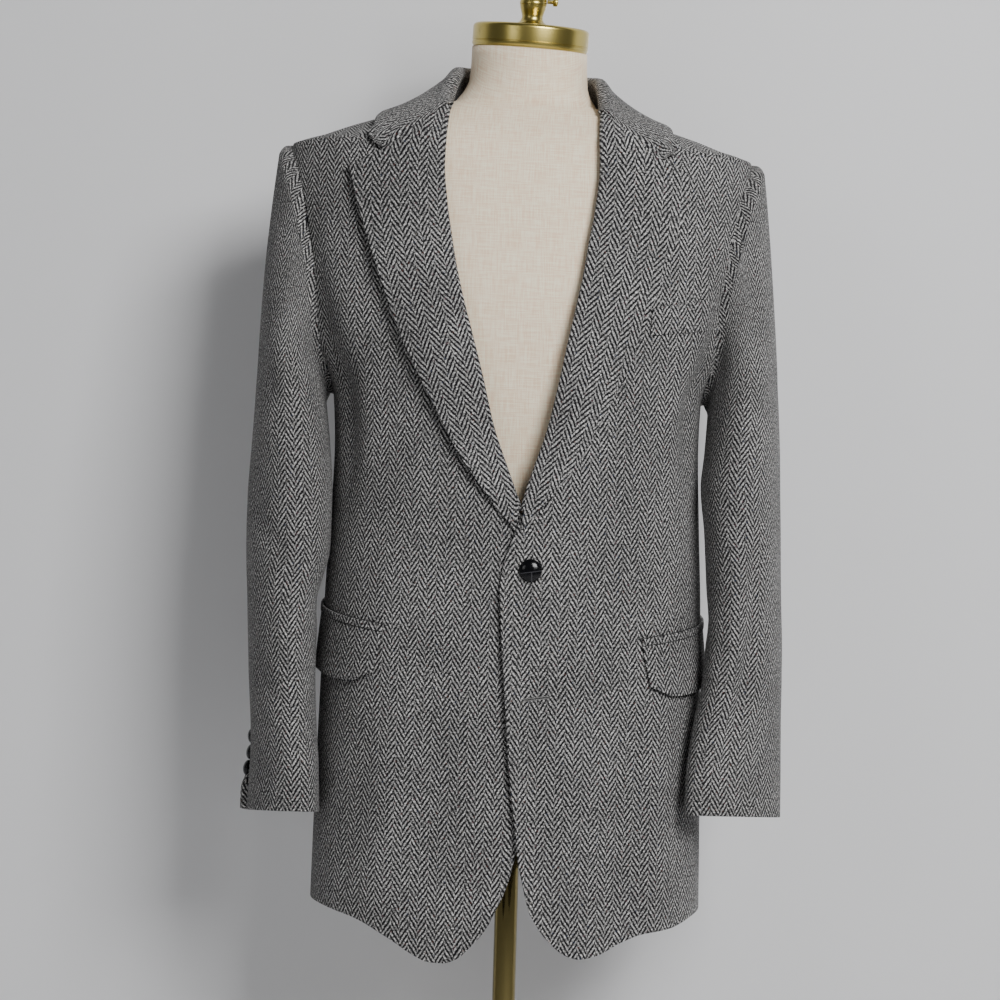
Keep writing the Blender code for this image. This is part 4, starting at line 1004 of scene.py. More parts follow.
def make_lapel(side):
    rows = np.linspace(0, 13, 131)[:, None]
    flat = np.linspace(0, 1, 26)[1:] ** 1.1
    roll_height, edge_half, edge_height, centre = (
        LAPEL.at(rows, n) for n in ("roll_height", "edge_half", "edge_height", "centre"))
    roll_x, edge_x = front_edge(side, roll_height), centre + side * edge_half
    gap = 0.05 * (rows > 12.95)

    def lift(t):
        joint = 1 - 0.8 * smooth(10.5, 13, rows)
        belly = (3.5 * np.sin(math.pi * t) * smooth(0, 5, rows) + 1.2 * t) * joint
        spring = 5.5 * t ** 1.5 * smooth(0.3, 2.5, rows) * (1 - smooth(8, 12.3, rows))
        return LAY_GAP + belly + spring + 0.4 * smooth(3, 7, rows) + 1.1 * smooth(8, 12, rows)

    t = np.broadcast_to(flat[None, :], (len(rows), len(flat)))
    x, height = mix(roll_x, edge_x, t), mix(roll_height, edge_height, t) - gap
    press = 0.7 * smooth(0.86, 0.95, t)
    top = on_front(side, x, height, lift(t) + DOUBLED - press)
    under = on_front(side, x, height, lift(t))
    arch = np.radians(np.linspace(180, 0, ROLL_COLUMNS))[None, :]
    inward, outward = side * np.sin(arch), np.cos(arch)
    high, low = lift(0.0) + DOUBLED, -CLOTH
    middle, radius = (high + low) / 2, (high - low) / 2
    roll_h = np.broadcast_to(roll_height - gap, (len(rows), ROLL_COLUMNS))
    roll_top = on_front(side, roll_x - radius * inward, roll_h, middle + radius * outward)
    roll_out = mix(-CLOTH * 0.6, lift(0.0), (1 + outward) / 2)
    roll_under = on_front(side, roll_x - 0.8 * inward, roll_h, roll_out)
    outer = np.concatenate([roll_top, top], 1)
    inner = np.concatenate([roll_under, under], 1)
    across = np.concatenate([np.abs(roll_x) + np.linspace(-7, 0, ROLL_COLUMNS)[None, :], np.abs(x)], 1)
    height_all = np.concatenate([roll_h, height], 1)
    lean = np.arctan((GRAIN.at(height_all + 1, "grain") - GRAIN.at(height_all - 1, "grain")) / 2)
    beside = across - GRAIN.at(height_all, "grain")
    place = np.stack([side * beside * np.cos(lean), height_all * 1.03 + beside * np.sin(lean)], -1)
    sew("lapel_" + WORDS[side], outer, inner, place)
    return outer


LAPEL_FACES = {side: make_lapel(side) for side in (LEFT, RIGHT)}

# %% [markdown]
# ## The collar
# The collar stands up the neck from its seam, folds over and falls back on the coat. Nine points make one
# cross section, a smooth curve joins them, and sections run from one gorge round the back to the other.

# %% The collar
JOINT_LIFT = 2.25
FALL_COLUMN = 32    # the collar's length is measured near its outer edge
GORGE_HALF, GORGE_FOOT = 75.8, (130.0, 1381.5)    # the gorge runs from the roll line to the notch


def collar_sections(side, station):
    names = ("seam_height", "seam_angle", "edge_height", "edge_angle", "rise", "lean")
    rows = [COLLAR.at(station, name)[:, None] for name in names]
    seam_height, seam_angle, edge_height, edge_angle, rise, lean = rows
    seam = coat(side * seam_angle, seam_height) + np.array([0, 0, SEAM_GAP + 0.5])
    away = unit(seam * np.array([1, 1, 0]))
    stand = rise[..., None] * np.array([0, 0, 1.0]) - away * (rise * lean)[..., None]
    t = np.array([[0.0, 0.2, 0.4, 0.6, 0.8, 1.0]])
    angle, height = mix(seam_angle, edge_angle, t), mix(seam_height, edge_height, t)
    first = np.minimum(t / 0.8, 1)
    gorge_height = mix(GORGE_LEVEL, GORGE_FOOT[1], first)
    gorge_angle = angle_at_x(mix(GORGE_HALF, GORGE_FOOT[0], first), gorge_height)
    tip_angle = np.where(t > 0.8, COLLAR_TIP[0], gorge_angle)
    tip_height = np.where(t > 0.8, COLLAR_TIP[1], gorge_height) + 0.1
    front = np.clip(1 - station / 0.5, 0, 1)[:, None]
    angle, height = mix(angle, tip_angle, front), mix(height, tip_height, front)
    lift = LAY_GAP + 1.4 + 1.4 * smooth(-1, 1.5, station)[:, None] * smooth(0, 0.6, t)
    fall = coat(side * angle, height, lift) + stand * ((1 - t) ** 1.6)[..., None]
    fall = fall + away * (1.6 * (1 - t))[..., None]
    flush = coat(side * angle, height, JOINT_LIFT)
    fall = mix(fall, flush, (front * (1 - 0.8 * (t > 0.9)) * smooth(0, 0.12, t))[..., None])
    return np.concatenate([seam, seam + stand * 0.5, seam + stand, fall], 1)


def make_collar():
    stations = np.linspace(0, 9, 73)
    left, right = collar_sections(LEFT, stations), collar_sections(RIGHT, stations)
    knots = np.concatenate([left, right[-2::-1]])
    marks = travelled(knots, 1).mean(0)
    fine = divided(marks, (4, 4, 6, 6, 5, 4, 4, 5))
    under = thread(knots.swapaxes(0, 1), marks, fine).swapaxes(0, 1)
    top = under + grid_normals(under) * DOUBLED
    along = travelled(top[:, FALL_COLUMN])
    place = np.stack(np.broadcast_arrays((along - along.mean())[:, None], fine[None, :]), -1)
    sew("collar", top, under, place)
    return top


COLLAR_FACE = make_collar()

# %% [markdown]
# ## Pockets
# Each hip has a jetted pocket with a flap, and the left breast a slanted welt. A good cutter matches their
# herringbone to the front, so they use the front's own map, slipped by a yarn or two. The flaps have a
# round front corner and stand away from the coat at the side, and the two pockets hang a little unlevel.

# %% Pockets
# (angle, height) of each piece's corners: front top, side top, front low, side low
JET = np.array([(36.5, 925.5), (98, 945), (36.5, 919.3), (98, 938.5)])
FLAP = np.array([(36.5, 918.7), (98, 937.9), (39.5, 872), (98, 880)])
WELT = np.array([(32.6, 1238), (53.5, 1252), (33.3, 1212), (55.5, 1221)])
POCKET_RISE = {LEFT: -4.5, RIGHT: 2.5}


def pocket_piece(node, side, corners, size, thick, lying, slip, rise=0.0, flap=False):
    """A piece between four corners. lying is its gap to the coat, slip moves its map."""
    rows, columns = np.linspace(0, 1, size[0]), np.linspace(0, 1, size[1]) ** (1.3 if flap else 1)
    v, u = np.meshgrid(rows, columns, indexing="ij")
    front_top, side_top, front_low, side_low = corners
    angle, height = (
        mix(mix(front_top[i], side_top[i], u), mix(front_low[i], side_low[i], u), v) for i in (0, 1))
    height = height + rise
    lift = lying + 0 * u
    if flap:
        corner, sag = 7.0 * (1 - smooth(0, 0.16, u)), 3.0 * np.sin(math.pi * np.minimum(u * 1.6, 1))
        height = height + corner * v ** 3 - sag * v
        lift = lift + v * (3.2 + 1.2 * (1 - smooth(0, 0.3, u)) + 2.0 * smooth(0.55, 1.0, u))
    place = np.stack([girth(side * angle, height) + slip[0], height + slip[1]], -1)
    outer, inner = coat(side * angle, height, lift + thick), coat(side * angle, height, lift)
    sew(node, outer, inner, place)
    return outer


FLAP_FACES, JET_FACES = {}, {}
for side, word in WORDS.items():
    rise = POCKET_RISE[side]
    JET_FACES[side] = pocket_piece("jet_" + word, side, JET, (5, 49), 2.8, LAY_GAP, (1.5, 2.0), rise)
    FLAP_FACES[side] = pocket_piece("flap_" + word, side, FLAP, (17, 49), 2.2, 0.3, (-1.0, 1.5), rise, True)
pocket_piece("breast_welt", LEFT, WELT, (11, 31), 0.9, 0.1, (8.2, -2.5))

# %% [markdown]
# ## Thread
# Two threads are used on the cloth: a grey twist for what should blend with it, and a near-black strand
# laid in slits and seam lines as painted shade, for the shadow that fills those recesses.

# %% Thread
twist, tree, shader = finish("sewing_thread", Roughness=0.7, Sheen_Weight=0.4)
strand = noise(tree, solid_place(tree), 1400.0)
yarn = tint(tree, strand, (0.10, 0.098, 0.095, 1), (0.34, 0.335, 0.325, 1))
connect(tree, shader.inputs, Base_Color=yarn)
emboss(tree, shader, strand, 0.3, 0.0001)
# A near-black strand: painted shade for the shadow inside slits and seam recesses.
painted_shade_strand, tree, shader = finish("painted_shade_lines", Roughness=0.85)
strand = noise(tree, solid_place(tree), 1600.0)
shade_tone = tint(tree, strand, (0.006, 0.006, 0.007, 1), (0.03, 0.03, 0.031, 1))
connect(tree, shader.inputs, Base_Color=shade_tone)
print("threads:", twist.name, painted_shade_strand.name)

# %% [markdown]
# ## A row of stitches
# Each stitch is a small flat bead laid on the cloth, with a few dozen faces only, because there are over a
# thousand. One mesh holds a whole row.


# %% A row of stitches
def tube_faces(rows, columns):
    """The faces between closed rings of points."""
    return [(r * columns + c, r * columns + (c + 1) % columns, (r + 1) * columns + (c + 1) % columns,
             (r + 1) * columns + c) for r in range(rows - 1) for c in range(columns)]


BEAD_SIDES = 6
BEAD_RINGS = ((-0.5, 0.35), (-0.36, 0.85), (0, 1), (0.36, 0.85), (0.5, 0.35))    # along, width
BEAD = np.array([(math.cos(a) * width, math.sin(a) * width, along) for along, width in BEAD_RINGS
                 for a in np.radians(np.arange(BEAD_SIDES) * 360 / BEAD_SIDES)])
BEAD_FACES = tube_faces(len(BEAD_RINGS), BEAD_SIDES)
BEAD_FACES += [tuple(range(BEAD_SIDES))[::-1], tuple(range(len(BEAD) - BEAD_SIDES, len(BEAD)))]
print("a bead:", len(BEAD), "points,", len(BEAD_FACES), "faces")


def stitch_row(name, middles, ways, normals, length, width, finish_used=twist):
    """One mesh of beads: their middles, ways along and normals, all in millimetres."""
    points, faces = [], []
    for middle, way, normal in zip(middles, unit(ways), unit(normals)):
        axes = np.stack([np.cross(normal, way) * width / 2, normal * width * 0.3, way * length])
        faces += [tuple(i + len(points) * len(BEAD) for i in face) for face in BEAD_FACES]
        points.append(middle + BEAD @ axes)
    points = np.concatenate(points)
    piece = cloth_object(name, points, faces, points[:, [0, 2]], finish_used)
    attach(piece, "root")
    print(name, len(middles), "stitches")


# %% [markdown]
# ## Pick stitches
# A tailor holds the edges of lapels, collar, fronts and flaps flat with a row of tiny pick stitches about
# 6 mm in. The row follows the edge at that distance along the cloth, and each stitch lies flat on it.

# %% Pick stitches
PICK_PITCH, ROLL_ROW = 4.2, 95    # a stitch's share of the row, and the front's rows below its roll line


def read_line(at, way, line):
    """Points of a line at given distances along it."""
    return np.stack([np.interp(at, way, line[:, i]) for i in range(3)], -1)


def edge_row(name, face, inset):
    """Pick stitches along the last column of a grid, some way in."""
    face = face[:, ::-1]
    way_in = travelled(face, 1)
    line, deeper = (np.array([read_line(d, *row) for row in zip(way_in, face)]) for d in (inset, inset + 1))
    way = travelled(line)
    at = np.arange(PICK_PITCH, way[-1] - PICK_PITCH / 2, PICK_PITCH)
    spots, inner = (read_line(at, way, curve) for curve in (line, deeper))
    ways = np.gradient(spots, axis=0)
    normals = np.cross(ways, inner - spots)
    outward = spots * np.array([1, 1, 0]) + np.array([0, 0, 20])
    normals *= np.sign((normals * outward).sum(-1, keepdims=True))
    stitch_row(name, spots, ways, normals, 1.3, 0.5)


for side, word in WORDS.items():
    edge_row("stitches_lapel_" + word, LAPEL_FACES[side], 6.0)
    edge_row("stitches_front_" + word, FRONT_FACES[side][:ROLL_ROW, ::-1], 6.0)
    edge_row("stitches_flap_" + word, FLAP_FACES[side].swapaxes(0, 1)[3:], 5.0)
edge_row("stitches_collar", COLLAR_FACE, 6.0)

# %% [markdown]
# ## The buttonhole and the pocket mouths
# The second buttonhole shows below the button. Close loops of twist are worked round its slit, which is
# filled with a near-black strand as painted shade, as are both edges of each jet, where the pocket's mouth
# and its seam are.

# %% The buttonhole and the pocket mouths
HOLE_LEVEL, HOLE_END, HOLE_SLOPE = 861.7, 12.4, 0.145    # it rises a little to the side
slit = np.linspace(12.0, 35.5, 34)
hole_height = HOLE_LEVEL + (slit - HOLE_END) * HOLE_SLOPE
seated = on_front(LEFT, slit, hole_height, 0.25)
facing = on_front(LEFT, slit, hole_height, 1.25) - seated
along_slit = np.gradient(seated, axis=0)
across_slit = np.cross(facing, unit(along_slit))
# The dark row in the slit is painted shade for the slit's shadow.
stitch_row("painted_shade_buttonhole_slit", seated, along_slit, facing, 1.2, 1.0, painted_shade_strand)
for word, lean in (("upper", 1.0), ("lower", -1.0)):
    stitch_row("stitches_buttonhole_" + word, seated + across_slit * lean, across_slit, facing, 1.3, 0.55)

# Near-black lines along both jet edges: painted shade for the recess of the pocket's mouth and its seam.
for side, face in JET_FACES.items():
    for word, row, sunk in (("upper", 0, 2.9), ("lower", -1, 0.7)):
        line = mix(face[row], face[len(face) // 2], -0.15)
        spots = read_line(np.linspace(0, len(line) - 1, 150), np.arange(len(line)), line)
        facing = unit(spots * np.array([1, 1, 0]))
        spots = spots - facing * sunk
        ways = np.gradient(spots, axis=0)
        stitch_row(f"painted_shade_jet_{word}_{WORDS[side]}", spots, ways, facing, 1.2, 1.1, painted_shade_strand)

# %% [markdown]
# ## The dress form's measures
# The torso is padded a little smaller than the coat, so it is drafted as the coat's own sections with an
# inset on each side, and the neck as rings that nod forward at the top.

# %% The dress form's measures
FORM_DROP, NECK_TOP, NECK_RADIUS, FORM_BOTTOM = 2.9, 1500.0, 57.5, 780.0
NECK_NOD, NECK_TILT = math.radians(8), math.radians(3)
FORM_INSET = Table(
    "height side front back",
    (780, 44, 30, 32), (860, 26, 22, 18), (950, 28, 24, 16), (1040, 32, 26, 14), (1120, 24, 22, 12),
    (1200, 28, 15, 8), (1280, 36, 9, 6), (1340, 34, 7, 5), (1380, 26, 5, 3), (1398, 12, 4, 2),
    (1406, 0, 3, 2), (1428, 0, 3.5, 2), (1438, 3, 7, 3), (1446, 6, 10, 5))
FORM_NECK = Table(
    "height half_width front back",
    (1453, 64.5, 58, 59.5), (1464, 59.5, 57, 58), (1482, 58, 57.3, 57.5),
    (1500, NECK_RADIUS, NECK_RADIUS, NECK_RADIUS))

print("neck, mm across:", 2 * NECK_RADIUS)

# %% [markdown]
# ## Linen
# Linen is a plain weave: one thread over, one under, with thicker slubs here and there. Two noises, each
# drawn out along one thread's way, make the slubs, and a checkerboard of sines the weave.

# %% Linen
plain_weave, given, gives = effect("plain_weave", {"Place": None, "Thread": 0.00085}, ("Tone", "Relief"))
tree = plain_weave
across, up = put(tree, "SeparateXYZ", {0: given["Place"]}).outputs[:2]
turn = calc(tree, "DIVIDE", math.pi, given["Thread"])
checks = calc(tree, "MULTIPLY", calc(tree, "SINE", calc(tree, "MULTIPLY", across, turn)),
              calc(tree, "SINE", calc(tree, "MULTIPLY", up, turn)))
along_thread, across_thread = 45, 820
weft, warp = (
    noise(tree, put(tree, "Mapping", {"Vector": given["Place"], "Scale": scale}).outputs[0], 1.0, 2.0, 0.6)
    for scale in ((along_thread, across_thread, 1), (across_thread, along_thread, 1)))
threads = calc(tree, "MULTIPLY_ADD", warp, 0.5, calc(tree, "MULTIPLY", weft, 0.5))
connect(tree, gives, Relief=calc(tree, "MULTIPLY_ADD", checks, 0.35, threads),
        Tone=calc(tree, "MULTIPLY_ADD", checks, 0.05, threads))

linen, tree, shader = finish("natural_linen", Roughness=0.88, Specular_IOR_Level=0.2,
                             Sheen_Weight=0.12, Sheen_Roughness=0.5)
place = mapped_place(tree)
weave = use(tree, plain_weave, Place=place)
colour = tint(tree, spread(tree, weave["Tone"], 0.36, 0.64), (0.86, 0.64, 0.44, 1), (1.0, 0.91, 0.70, 1))
stain = spread(tree, noise(tree, place, 9.0, 4.0), 0.35, 0.75, 0.0, 0.1)
connect(tree, shader.inputs, Base_Color=tint(tree, stain, colour, (0.70, 0.54, 0.39, 1)))
emboss(tree, shader, weave["Relief"], 0.35, 0.0003)
print("linen:", len(tree.nodes), "nodes")

# %% [markdown]
# ## The dress form
# A dress form is a padded, linen-covered torso with no head or arms. It is one closed skin of rings, and
# the coat hides all of it but the chest and neck.


# %% The dress form
def form_ring(angle, height):
    above = np.minimum(height + FORM_DROP, BODY_TOP)
    side, front, back = (FORM_INSET.at(height, n) for n in ("side", "front", "back"))
    half_width, power = BODY.at(above, "half_width") - side, BODY.at(above, "power")
    depth = np.where(np.abs(angle) < 90, -(BODY.at(above, "front") - front), BODY.at(above, "back") - back)
    turn = np.radians(np.abs(angle))
    x = np.sign(angle) * half_width * np.abs(np.sin(turn)) ** (2 / power)
    return np.stack(np.broadcast_arrays(x, depth * np.abs(np.cos(turn)) ** (2 / power), height), -1)


def neck_ring(angle, height):
    turn = np.radians(angle)
    across = FORM_NECK.at(height, "half_width") * np.sin(turn)
    front, back = FORM_NECK.at(height, "front"), FORM_NECK.at(height, "back")
    depth = np.where(np.abs(angle) < 90, front, back) * -np.cos(turn)
    nod = math.tan(NECK_NOD) * depth * smooth(1460, NECK_TOP, height)
    return np.stack([across, depth, height + nod], -1)


def make_form():
    columns = 112
    angle = -180 + 360 * (np.arange(columns) + 0.5) / columns
    foot = form_ring(angle, np.full(columns, FORM_BOTTOM))
    foot[:, :2] *= 0.93
    levels = np.concatenate([np.arange(800, 1395, 12.0), np.linspace(1396, 1443, 20)])
    rings = [foot] + [form_ring(angle, np.full(columns, h)) for h in levels]
    neck_levels = (1453.0, 1458.0, 1464.0, 1473.0, 1482.0, 1491.0, NECK_TOP)
    rings += [neck_ring(angle, np.full(columns, h)) for h in neck_levels]
    points = np.stack(rings)
    rows = len(points)
    low, high = points[0].mean(0), points[-1].mean(0)
    faces = tube_faces(rows, columns)
    total, last_ring = rows * columns, (rows - 1) * columns
    for c in range(columns):
        after = (c + 1) % columns
        faces += [(after, c, total), (last_ring + c, last_ring + after, total + 1)]
    across = travelled(points[..., :2], 1)
    across -= (across[:, [columns // 2 - 1]] + across[:, [columns // 2]]) / 2
    climbed = lengths(np.diff(points, axis=0)) ** 2 - np.diff(across, axis=0) ** 2
    up = np.concatenate([np.zeros((1, columns)), np.cumsum(np.sqrt(np.maximum(climbed, 0)), 0)])
    place = np.stack([across, up], -1).reshape(-1, 2)
    place = np.concatenate([place, [[0, up[0, 0]], [0, up[-1, 0]]]])
    points = np.concatenate([points.reshape(-1, 3), [low, high]])
    piece = cloth_object("linen_torso", points, faces, place, linen)
    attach(piece, "root")
    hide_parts("form_torso")
    print("form:", len(piece.data.polygons), "faces")


make_form()

# %% [markdown]

# %% [markdown]
# ## Aged brass
# Brass that is handled goes dull and olive where fingers don't reach, and stays bright on its edges. The
# base colour wanders between the two on Object coordinates, and the roughness follows it. A second use of
# the same effect, with a lower share, keeps the plain pole calmer than the cap, and its far darker colours
# are painted shade for the dark room that the polished pole reflects.

# %% Aged brass
tarnish, given, gives = effect("tarnish", {"Place": None, "Patch": 60.0, "Share": 0.5}, ("Dull", "Fine"))
tree = tarnish
cloud = noise(tree, given["Place"], given["Patch"], 5.0, 0.6)
speck = noise(tree, given["Place"], calc(tree, "MULTIPLY", given["Patch"], 14.0), 2.0)
mottled = calc(tree, "MULTIPLY_ADD", speck, 0.22, cloud)
low = calc(tree, "SUBTRACT", 0.98, calc(tree, "MULTIPLY", given["Share"], 0.72))
connect(tree, gives, Dull=spread(tree, mottled, low, calc(tree, "ADD", low, 0.3)), Fine=speck)


def brass_finish(name, bright, dull, patch, share, smoothness):
    made, tree, shader = finish(name, Metallic=1.0)
    aged = use(tree, tarnish, Place=solid_place(tree), Patch=patch, Share=share)
    colour = tint(tree, aged["Dull"], bright, dull)
    rough = spread(tree, aged["Dull"], 0.0, 1.0, smoothness, smoothness + 0.2)
    connect(tree, shader.inputs, Base_Color=colour, Roughness=rough)
    emboss(tree, shader, aged["Fine"], 0.12, 0.0002)
    return made


brass = brass_finish("aged_brass", (0.52, 0.42, 0.125, 1), (0.25, 0.195, 0.06, 1), 38.0, 0.42, 0.28)
# The pole's copy is far darker than the cap's: painted shade for the dark room its polish reflects.
shaded_pole_brass = brass_finish("shaded_pole_brass", (0.19, 0.153, 0.058, 1), (0.09, 0.072, 0.028, 1), 22.0, 0.35, 0.1)
print("finishes so far:", len(bpy.data.materials))

# %% [markdown]
# ## Turning
# The cap, finial, thumb screw, pole and base are turned on a lathe. By hand in Blender, that is a disc
# which is extruded and resized again and again up its profile. Small steps at each corner stand for the
# turner's broken edges, so that they catch the light.


# %% Turning
def settle_piece(piece, place):
    """Moves a piece to its place for good, so that the object itself stays at the origin."""
    piece.matrix_world = place
    bpy.ops.object.transform_apply(location=True, rotation=True, scale=True)


def turned_piece(name, profile, finish_used, sides, place=Matrix()):
    """A disc at the foot, extruded and resized through the profile's (radius, level), in millimetres."""
    bpy.ops.object.select_all(action="DESELECT")
    radius, level = profile[0]
    low = (0, 0, level * MM)
    bpy.ops.mesh.primitive_circle_add(vertices=sides, radius=radius * MM, fill_type="NGON", location=low)
    piece = bpy.context.object
    piece.name = piece.data.name = name
    bpy.ops.object.transform_apply(location=True, rotation=True, scale=True)
    bpy.ops.object.mode_set(mode="EDIT")
    bpy.ops.mesh.select_all(action="SELECT")
    for next_radius, next_level in profile[1:]:
        rise = (next_level - level) * MM
        bpy.ops.mesh.extrude_region_move(TRANSFORM_OT_translate={"value": (0, 0, rise)})
        share = next_radius / radius
        bpy.ops.transform.resize(value=(share, share, 1), center_override=(0, 0, next_level * MM))
        radius, level = next_radius, next_level
    bpy.ops.mesh.select_all(action="SELECT")
    bpy.ops.mesh.normals_make_consistent(inside=False)
    bpy.ops.object.mode_set(mode="OBJECT")
    bpy.ops.object.shade_smooth_by_angle(angle=math.radians(28))
    settle_piece(piece, place)
    piece.data.materials.append(finish_used)
    return piece


def hard_part(piece, node):
    """The piece rides on the root body and stands for its node."""
    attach(piece, "root")
    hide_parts(node)
    print(piece.name, len(piece.data.polygons), "faces")


def arc(centre_radius, centre_level, radius, first, last, count):
    """Profile points round part of a circle: degrees from straight up."""
    return [(centre_radius + radius * math.sin(a), centre_level + radius * math.cos(a))
            for a in np.radians(np.linspace(first, last, count))]


print("a quarter of a circle:", [(round(r, 1), round(z, 1)) for r, z in arc(0, 0, 10, 0, 90, 4)])

# %% [markdown]
# ## The neck cap and the finial
# The neck ends in a flat brass cap with a groove round its rim. On it stands the finial: a barrel with a
# waist and a ball, and a small thumb screw in its side. All three follow the neck's tilt.

# %% The neck cap and the finial
CAP_TOP = 23.8
askew = float(ASKEW.at(NECK_TOP, "sway"))
tilt = Euler((NECK_NOD, NECK_TILT, 0)).to_matrix().to_4x4()
tilt = Matrix.Translation(Vector((askew, 0, NECK_TOP)) * MM) @ tilt
cap = [
    (55.4, SEAM_GAP), (56.2, 0.45), (56.8, 0.9), (57.0, 1.8), (57.6, 2.4), (58.0, 3.2), (58.0, 5.2),
    (57.5, 5.6), (57.5, 6.3), (58.0, 6.7), (58.0, 19.6), (57.9, 20.6), (57.5, 21.6), (56.8, 22.5),
    (55.9, 23.1), (54.9, 23.5), (53.0, 23.7), (48.0, 23.75), (47.6, 23.3), (46.8, 23.3), (46.4, 23.75),
    (20.0, CAP_TOP), (4.0, CAP_TOP)]
hard_part(turned_piece("brass_neck_cap", cap, brass, 112, tilt), "neck_cap")

seat = CAP_TOP + SEAM_GAP
barrel = [
    (14.8, 0), (15.4, 0.3), (15.5, 1.0), (15.3, 1.8), (14.9, 2.4), (13.2, 3.3), (11.9, 4.4), (11.2, 5.6),
    (10.5, 7.6), (10.4, 9.4), (10.9, 11.6), (11.8, 14.4), (12.6, 17.0), (13.1, 19.6), (13.1, 20.4),
    (13.5, 21.0), (13.6, 22.2), (13.5, 23.4), (13.2, 24.0), (13.4, 30.0), (13.5, 37.0), (13.3, 41.6),
    (12.9, 43.0), (11.6, 44.8), (9.6, 46.8), (7.6, 48.2), (5.9, 49.4), (5.2, 50.4), (5.0, 51.8),
    (5.2, 53.2), (6.2, 55.0)]
ball = arc(0, 66, 12.5, 148, 4, 19)
hard_part(turned_piece("brass_finial", [(r, seat + z) for r, z in barrel + ball], brass, 72, tilt), "finial")

screw_place = tilt @ Matrix.Translation(Vector((13.4 + SEAM_GAP, 0, seat + 25)) * MM)
screw_place = screw_place @ Matrix.Rotation(math.radians(90), 4, "Y")
knob = [
    (1.8, 0), (2.0, 0.2), (2.0, 5.2), (2.3, 5.6), (3.6, 5.9), (4.1, 6.3), (4.2, 6.9), (4.2, 7.4),
    (3.9, 7.6), (3.9, 7.9), (4.2, 8.1), (4.2, 8.9), (4.0, 9.8), (3.4, 10.5), (2.4, 10.85), (1.0, 11.0)]
hard_part(turned_piece("brass_thumb_screw", knob, brass, 40, screw_place), "finial_screw")

# %% [markdown]
# ## The pole and the base
# The form slides on a plain brass pole, which stands in a heavy round base with a low, dished top.

# %% The pole and the base
POLE_RADIUS, BASE_TOP = 11.5, 44.0
low, high = BASE_TOP + SEAM_GAP, FORM_BOTTOM - SEAM_GAP
rod = [(10.7, low), (11.3, low + 0.3), (POLE_RADIUS, low + 1.0)]
rod += [(POLE_RADIUS, z) for z in np.linspace(low + 30, high - 30, 8)]
rod += [(POLE_RADIUS, high - 1.0), (11.3, high - 0.3), (10.7, high)]
hard_part(turned_piece("brass_pole", rod, shaded_pole_brass, 64), "pole")

foot = [
    (164.6, 0), (166.2, 0.5), (167.2, 1.6), (168.0, 3.6), (168.0, 5.4), (167.4, 7.2), (166.2, 8.8),
    (164.0, 10.1), (161.0, 11.2), (157.5, 12.0), (140.0, 13.6), (120.0, 15.0), (90.0, 17.1),
    (60.0, 19.0), (44.0, 20.6), (34.0, 22.2), (28.0, 23.6), (25.0, 25.0), (22.6, 27.2), (21.0, 29.6),
    (20.1, 32.0), (19.8, 36.0), (20.0, 41.0), (20.0, 42.6), (19.7, 43.4), (19.0, 43.9), (17.0, BASE_TOP),
    (3.0, BASE_TOP)]
hard_part(turned_piece("brass_base", foot, shaded_pole_brass, 128), "stand_base")

# %% [markdown]
# ## Button leather
# The leather is black and polished, and lighter grey along its grooves. Fine pores break the shine. The
# grooves are the same on every button, so the lighter lines are placed on the button's own flat map.

# %% Button leather
leather, tree, shader = finish("black_leather_button", Specular_IOR_Level=0.22,
                               Coat_Weight=0.15, Coat_Roughness=0.05)
place = solid_place(tree)
pore = noise(tree, place, 1500.0, 3.0, 0.6)
worn = spread(tree, noise(tree, place, 220.0, 3.0), 0.5, 0.75)
across, up = put(tree, "SeparateXYZ", {0: mapped_place(tree, "face")}).outputs[:2]
# Lighter grey lines along the two grooves, placed on the button's face map.
middle = calc(tree, "ABSOLUTE", calc(tree, "ADD", calc(tree, "MULTIPLY_ADD", across, -0.03, up), 0.13))
below = calc(tree, "ABSOLUTE", calc(tree, "SUBTRACT", calc(tree, "MULTIPLY_ADD", up, -0.075, across), 0.095))
below = calc(tree, "ADD", below, calc(tree, "GREATER_THAN", up, -0.13))
groove_lines = spread(tree, calc(tree, "MINIMUM", middle, below), 0.01, 0.07, 1.0, 0.0)
hide = tint(tree, worn, (0.0025, 0.0025, 0.0035, 1), (0.008, 0.008, 0.0085, 1))
connect(tree, shader.inputs, Base_Color=tint(tree, groove_lines, hide, (0.042, 0.042, 0.046, 1)),
        Roughness=spread(tree, worn, 0.0, 1.0, 0.14, 0.28))
emboss(tree, shader, pore, 0.25, 0.00012)
thread_used, tree, shader = finish("button_thread", Roughness=0.8, Sheen_Weight=0.3)
strand = tint(tree, noise(tree, solid_place(tree), 1800.0), (0.02, 0.02, 0.022, 1), (0.12, 0.115, 0.11, 1))
connect(tree, shader.inputs, Base_Color=strand)
print("leather:", len(leather.node_tree.nodes), "nodes")

# %% [markdown]
# ## A button
# The buttons are woven from strips of leather round a core, which leaves a soft groove across the middle
# and a short one below it. A ball is flattened, its back is cut off and filled, and the grooves are pushed
# in with proportional editing. Each size is modelled once and copied.


# %% A button
def press_groove(start, end, width, depth):
    """Pushes in the points on a line across the dome, with their neighbours following softly."""
    mesh = bpy.context.object.data
    start, end = Vector(start), Vector(end)
    line = end - start
    bpy.ops.object.mode_set(mode="OBJECT")
    for vertex in mesh.vertices:
        at = Vector((vertex.co.x, vertex.co.y))
        t = min(max((at - start).dot(line) / line.length_squared, 0), 1)
        vertex.select = (at - start - line * t).length < width * 0.28 and vertex.co.z > 0.001
    bpy.ops.object.mode_set(mode="EDIT")
    bpy.ops.transform.translate(
        value=(0, 0, -depth), use_proportional_edit=True, use_proportional_connected=True,
        proportional_edit_falloff="SMOOTH", proportional_size=width)


